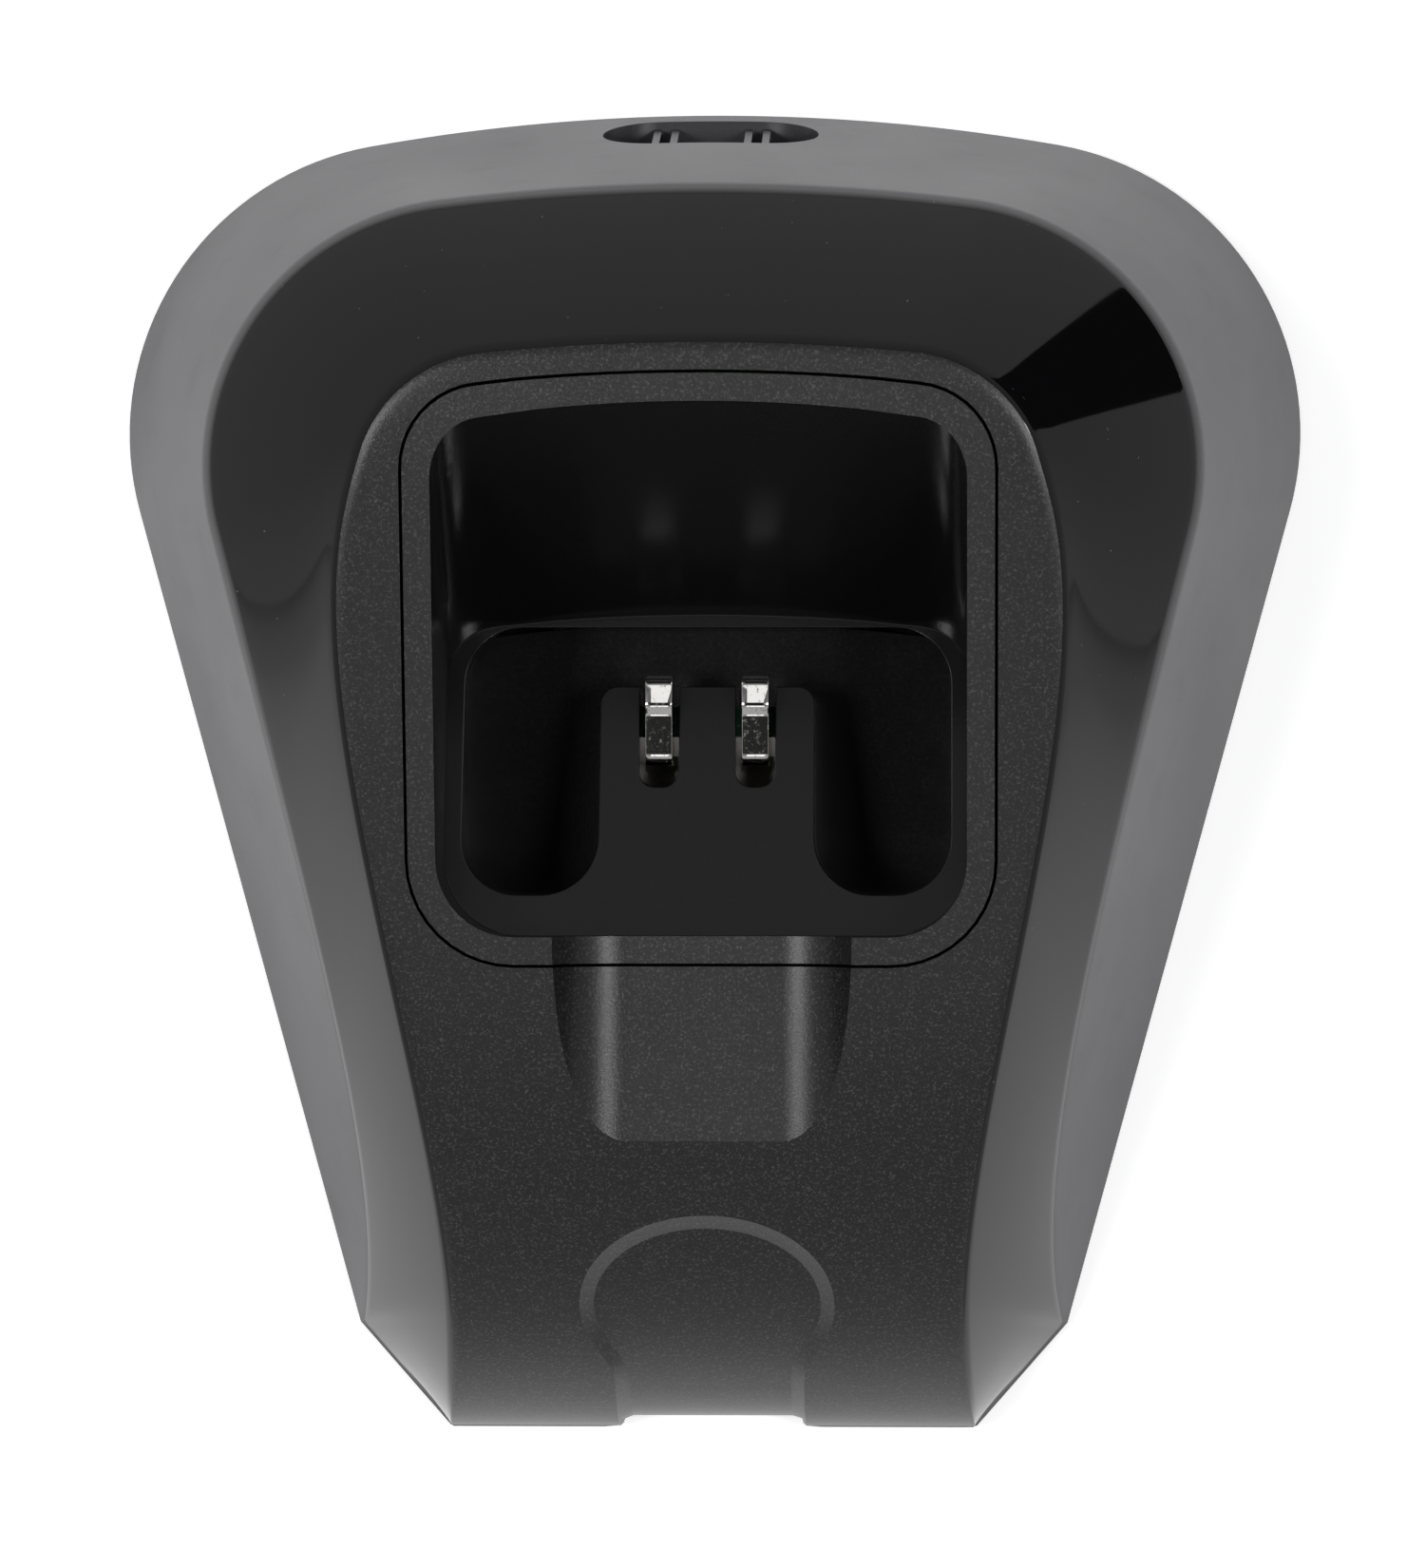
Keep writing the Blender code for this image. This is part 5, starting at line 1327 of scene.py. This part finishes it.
@dataclass
class BaseCover:
    """The flat cover below, with its screw wells, standoffs, cord ribs and foot recesses."""

    form: CradleForm
    finishes: Finishes
    thickness: float = 2 * MM
    well_radius: float = 4.5 * MM
    well_top_z: float = 7.2 * MM
    standoff_radius: float = 2.6 * MM
    standoff_height: float = 2 * MM
    standoffs: Point2 = (11.8 * MM, 30 * MM)
    feet: tuple[Point2, ...] = ((41 * MM, 33 * MM), (24 * MM, -50 * MM))
    foot_recess: float = 0.7 * MM
    rib_height: float = 8 * MM
    rib_length: float = 4 * MM
    head_radius: float = 3.0 * MM
    head_top_z: float = 5.3 * MM
    root_rise: float = 0.5 * MM
    edge_round: float = 0.3 * MM
    seams_x: tuple[float, ...] = (-16 * MM, 0.0, 16 * MM)
    seams_y: tuple[float, ...] = (-42 * MM, -20 * MM, 0.0, 24 * MM, 39.5 * MM)

    def ribs_rear_y(self) -> float:
        """Rear end of the ribs, clear of the housing's leaning inner wall."""
        form = self.form
        lean = form.rear_draft() * (self.thickness + self.rib_height)
        return form.rear_y - form.wall_stretch * form.wall - lean - 2 * form.gap

    def add_ribs(self, cover: bpy.types.Object, root_z: float, inside_z: float) -> None:
        """Joins the cord ribs, their upper edges rounded."""
        half, rear_y = self.form.rib_thickness / 2, self.ribs_rear_y()
        for x in self.form.rib_lines():
            rib = box("rib", (x - half, rear_y - self.rib_length, root_z),
                      (x + half, rear_y, inside_z + self.rib_height))
            round_edges(rib, self.edge_round, 60.0, 2, lambda middle: middle.z > inside_z)
            join(cover, rib)

    def build(self) -> bpy.types.Object:
        """Builds the plate, joins what stands on it and cuts its holes."""
        form = self.form
        inside_z, root_z = form.hem_z + self.thickness, form.hem_z + self.root_rise
        slab = box("slab", (-FAR, -FAR, form.hem_z), (FAR, FAR, inside_z))
        cover = keep_inside(form.inner_dome("base_cover", form.wall + form.gap), slab)
        divide(divide(cover, "Y", self.seams_y), "X", self.seams_x)
        screws, board, feet = ([(side * x, y) for x, y in places for side in SIDES]
                               for places in (form.cover_screws, (self.standoffs,), self.feet))
        standoff_z, recess_z = inside_z + self.standoff_height, form.hem_z + self.foot_recess
        for place in screws:
            join(cover, disc("screw_well", place, self.well_radius, root_z, self.well_top_z))
        for place in board:
            join(cover, disc("standoff", place, self.standoff_radius, root_z, standoff_z))
        self.add_ribs(cover, root_z, inside_z)
        for place in screws:
            cut(cover, disc("head_space", place, self.head_radius, 0.0, self.head_top_z))
            cut(cover, disc("shank_space", place, form.shank_radius, 0.0, FAR, 24))
        for place in board:
            cut(cover, disc("board_pilot", place, form.shank_radius, inside_z - self.thickness / 2, FAR, 24))
        for place in feet:
            cut(cover, disc("foot_recess", place, Foot.radius + form.gap, 0.0, recess_z))
        round_edges(cover, self.edge_round, 50.0, 2, lambda middle: middle.z < form.hem_z + HAIR)
        return smooth(dress(cover, self.finishes.cover.material()))


@dataclass
class Foot:
    """One rubber foot: a low round pad with a soft edge and a shallow dish below."""

    finishes: Finishes
    radius: float = 5 * MM
    top_z: float = 1.4 * MM
    dish_radius: float = 3.2 * MM
    dish_depth: float = 0.25 * MM
    edge_round: float = 0.35 * MM

    def build(self, name: str, place: Point2) -> bpy.types.Object:
        """Builds the pad from a cylinder: its lower face is inset twice and pushed up."""
        foot = disc(name, place, self.radius, 0.0, self.top_z, 64)
        with editing(foot, Part.FACES, lambda face: face.normal.z < -0.9):
            bpy.ops.mesh.inset(thickness=self.radius - self.dish_radius)
            bpy.ops.mesh.inset(thickness=2 * self.dish_depth)
            bpy.ops.transform.translate(value=(0.0, 0.0, self.dish_depth))
        round_edges(foot, self.edge_round, 60.0, 4, lambda middle: middle.z < 2 * HAIR)
        return smooth(dress(foot, self.finishes.foot.material()))


@dataclass
class RatingLabel:
    """The blank film label on the underside, with round corners and a soft cut edge."""

    form: CradleForm
    finishes: Finishes
    radius: float = 2 * MM
    thickness: float = 0.15 * MM
    edge_round: float = 0.05 * MM

    def build(self) -> bpy.types.Object:
        """Builds the film just below the cover."""
        x, y = self.finishes.label.half_size
        corners = [(-x, -y), (x, -y), (x, y), (-x, y)]
        top = self.form.hem_z - self.form.gap
        label = prism("rating_label", rounded([(a, b, self.radius) for a, b in corners]),
                      top - self.thickness, top)
        round_edges(label, self.edge_round, 60.0, 2)
        return smooth(dress(label, self.finishes.label.material()))


def place_contacts(finishes: Finishes, cup: HandsetCup) -> None:
    """Models one contact and places it and its copy, a pitch apart, each on its own arm."""
    right = ChargingContacts(finishes, cup).build("leaf_right")
    left = copied(right, "leaf_left", (-cup.contact_pitch, 0.0, 0.0))
    for piece, label in ((right, "right"), (left, "left")):
        place_piece(piece, f"contact_{label}_arm", "contact_metal", f"contact_{label}")


def place_feet(finishes: Finishes) -> None:
    """Models one foot and places it and its three copies."""
    places = [(f"{row}_{label}", side * x, y) for row, (x, y) in zip(("rear", "front"), BaseCover.feet)
              for side, label in zip(SIDES, ("right", "left"))]
    first, first_x, first_y = places[0]
    pads = [Foot(finishes).build(f"pad_{first}", (first_x, first_y))]
    pads += [copied(pads[0], f"pad_{spot}", (x - first_x, y - first_y, 0.0)) for spot, x, y in places[1:]]
    for pad, (spot, _x, _y) in zip(pads, places):
        place_piece(pad, "cradle", "foot_rubber", f"foot_{spot}")


def dress_inner_pieces(frame: dict, finishes: Finishes) -> None:
    """Gives the pieces that keep their CAD meshes their finishes."""
    wanted = {"contact_carrier": finishes.carrier, "circuit_board": finishes.board,
              "power_inlet": finishes.inlet, "smoothing_capacitor": finishes.sleeve,
              "choke_coil": finishes.epoxy, "charge_regulator": finishes.epoxy,
              "chip_resistor": finishes.epoxy, "blocking_diode": finishes.epoxy,
              "resettable_fuse": finishes.fuse, "screw": finishes.screw}
    made = {}
    for name, obj in frame["nodes"].items():
        for key, finish in wanted.items():
            if key in name:
                made[finish.name] = made.get(finish.name) or finish.material()
                dress(obj, made[finish.name])
                LOG.info("%s: %s", name, finish.name)


# ================================================================ the studio
@dataclass(frozen=True)
class Panel:
    """A square soft light, aimed at the middle of the table."""

    name: str
    place: tuple[float, float, float]
    size: float
    watts: float


@dataclass
class Studio:
    """A white table under soft light, seen from above."""

    camera_place: tuple[float, float, float] = (0.0231, -0.0013, 0.740)
    camera_target: tuple[float, float, float] = (-0.00014, -0.0013, 0.0)
    lens: float = 177.27
    floor_size: float = 3.0
    floor_glow: float = 0.60
    floor_drop: float = 0.2 * MM
    sky: tuple[Point2, ...] = ((0.0, 0.62), (0.25, 0.50), (0.72, 0.36),
                               (0.88, 0.24), (0.95, 0.03), (1.0, 0.0))
    panels: tuple[Panel, ...] = (Panel("side_panel", (-0.42, 0.0, 0.85), 0.22, 3.0),
                                 Panel("side_panel", (0.42, 0.0, 0.85), 0.22, 2.8),
                                 Panel("rear_panel", (0.0, 0.33, 0.90), 0.20, 0.12),
                                 Panel("front_panel", (0.0, -0.46, 0.82), 0.25, 0.20))
    card_place: tuple[float, float, float] = (0.43, 0.27, 0.21)
    card_size: Point2 = (0.26, 0.42)

    def build(self) -> None:
        """Builds the floor, the world, the lights and the camera."""
        bpy.context.scene.view_settings.view_transform = "Standard"
        self.floor()
        self.world()
        for panel in self.panels:
            self.light(panel)
        self.card()
        self.camera()

    def card(self) -> None:
        """A black card that shows only as a dark patch in the gloss."""
        turn = Vector(self.card_place).to_track_quat("Z", "Y").to_euler()
        bpy.ops.mesh.primitive_plane_add(size=1.0, location=self.card_place, rotation=turn)
        card = bpy.context.object
        card.name = "dark_card"
        card.scale = (*self.card_size, 1.0)
        card.visible_camera = False
        card.visible_shadow = False
        card.visible_diffuse = False
        bench = Bench("dark_card")
        bench.feed("Base Color", (0.002, 0.002, 0.002))
        bench.feed("Roughness", bench.noise(0.05) * 0.1 + 0.9)
        bench.feed("Specular IOR Level", 0.0)
        dress(card, bench.material)

    def floor(self) -> None:
        """A pale floor that glows a little, so that no shadow shows."""
        bpy.ops.mesh.primitive_plane_add(size=self.floor_size, location=(0.0, 0.0, -self.floor_drop))
        floor = bpy.context.object
        floor.name = "studio_floor"
        bench = Bench("studio_floor")
        mottle = bench.noise(0.4, 1.0)
        across = bench.node("ShaderNodeSeparateXYZ", {}, {"Vector": bench.place}, "X")
        reach = bench.node("ShaderNodeVectorMath", {"operation": "LENGTH"}, {0: bench.place}, "Value")
        glow = bench.ramp(across * 2.0 + 0.5, (0.25, 1.0), (0.75, 0.78))
        bench.feed("Base Color", (0.8, 0.8, 0.8))
        bench.feed("Roughness", mottle * 0.1 + 0.8)
        bench.feed("Emission Color", glow * bench.ramp(reach, (0.14, 1.0), (0.35, 0.15)))
        bench.feed("Emission Strength", self.floor_glow)
        dress(floor, bench.material)

    def world(self) -> None:
        """A sky that is white at the horizon and greyer overhead."""
        world = bpy.data.worlds.new("studio")
        bpy.context.scene.world = world
        world.use_nodes = True
        tree = world.node_tree
        place = tree.nodes.new("ShaderNodeTexCoord")
        parts = tree.nodes.new("ShaderNodeSeparateXYZ")
        ramp = tree.nodes.new("ShaderNodeValToRGB")
        while len(ramp.color_ramp.elements) < len(self.sky):
            ramp.color_ramp.elements.new(0.5)
        for element, (at, shade) in zip(ramp.color_ramp.elements, self.sky):
            element.position = at
            element.color = (shade, shade, shade * 1.01, 1.0)
        tree.links.new(place.outputs["Generated"], parts.inputs[0])
        tree.links.new(parts.outputs["Z"], ramp.inputs[0])
        tree.links.new(ramp.outputs[0], tree.nodes["Background"].inputs["Color"])

    @staticmethod
    def light(panel: Panel) -> None:
        """Adds one panel, which the camera doesn't see."""
        bpy.ops.object.light_add(type="AREA", location=panel.place)
        lamp = bpy.context.object
        lamp.name = panel.name
        lamp.data.size = panel.size
        lamp.data.energy = panel.watts
        lamp.visible_camera = False
        lamp.rotation_euler = Vector(panel.place).to_track_quat("Z", "Y").to_euler()

    def camera(self) -> None:
        """The camera above the cradle, its picture upright along Y."""
        bpy.ops.object.camera_add(location=self.camera_place)
        camera = bpy.context.object
        camera.name = "camera"
        back = (Vector(self.camera_place) - Vector(self.camera_target)).normalized()
        right = Vector((0.0, 1.0, 0.0)).cross(back).normalized()
        up = back.cross(right)
        camera.rotation_euler = Matrix((right, up, back)).transposed().to_euler()
        camera.data.lens = self.lens
        camera.data.clip_start = 0.05
        bpy.context.scene.camera = camera


def main() -> None:
    """Builds every piece in order, then the studio."""
    logging.basicConfig(level=logging.INFO, format="%(name)s: %(message)s")
    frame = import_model()
    low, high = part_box("upper_housing")
    form = CradleForm(rear_y=high.y, front_y=low.y, hem_z=low.z, hem_half_width=high.x)
    finishes = Finishes()
    housing = Housing(form, finishes)
    place_piece(housing.build(), "cradle", "housing_plastic", "upper_housing")
    cup = HandsetCup(form, housing, finishes)
    place_piece(cup.build(), "cradle", "cup_plastic", "handset_cup")
    place_contacts(finishes, cup)
    place_piece(BaseCover(form, finishes).build(), "cradle", "cover_plastic", "base_cover")
    place_feet(finishes)
    place_piece(RatingLabel(form, finishes).build(), "cradle", "label_film", "rating_label")
    dress_inner_pieces(frame, finishes)
    Studio().build()


if __name__ == "__main__":
    main()
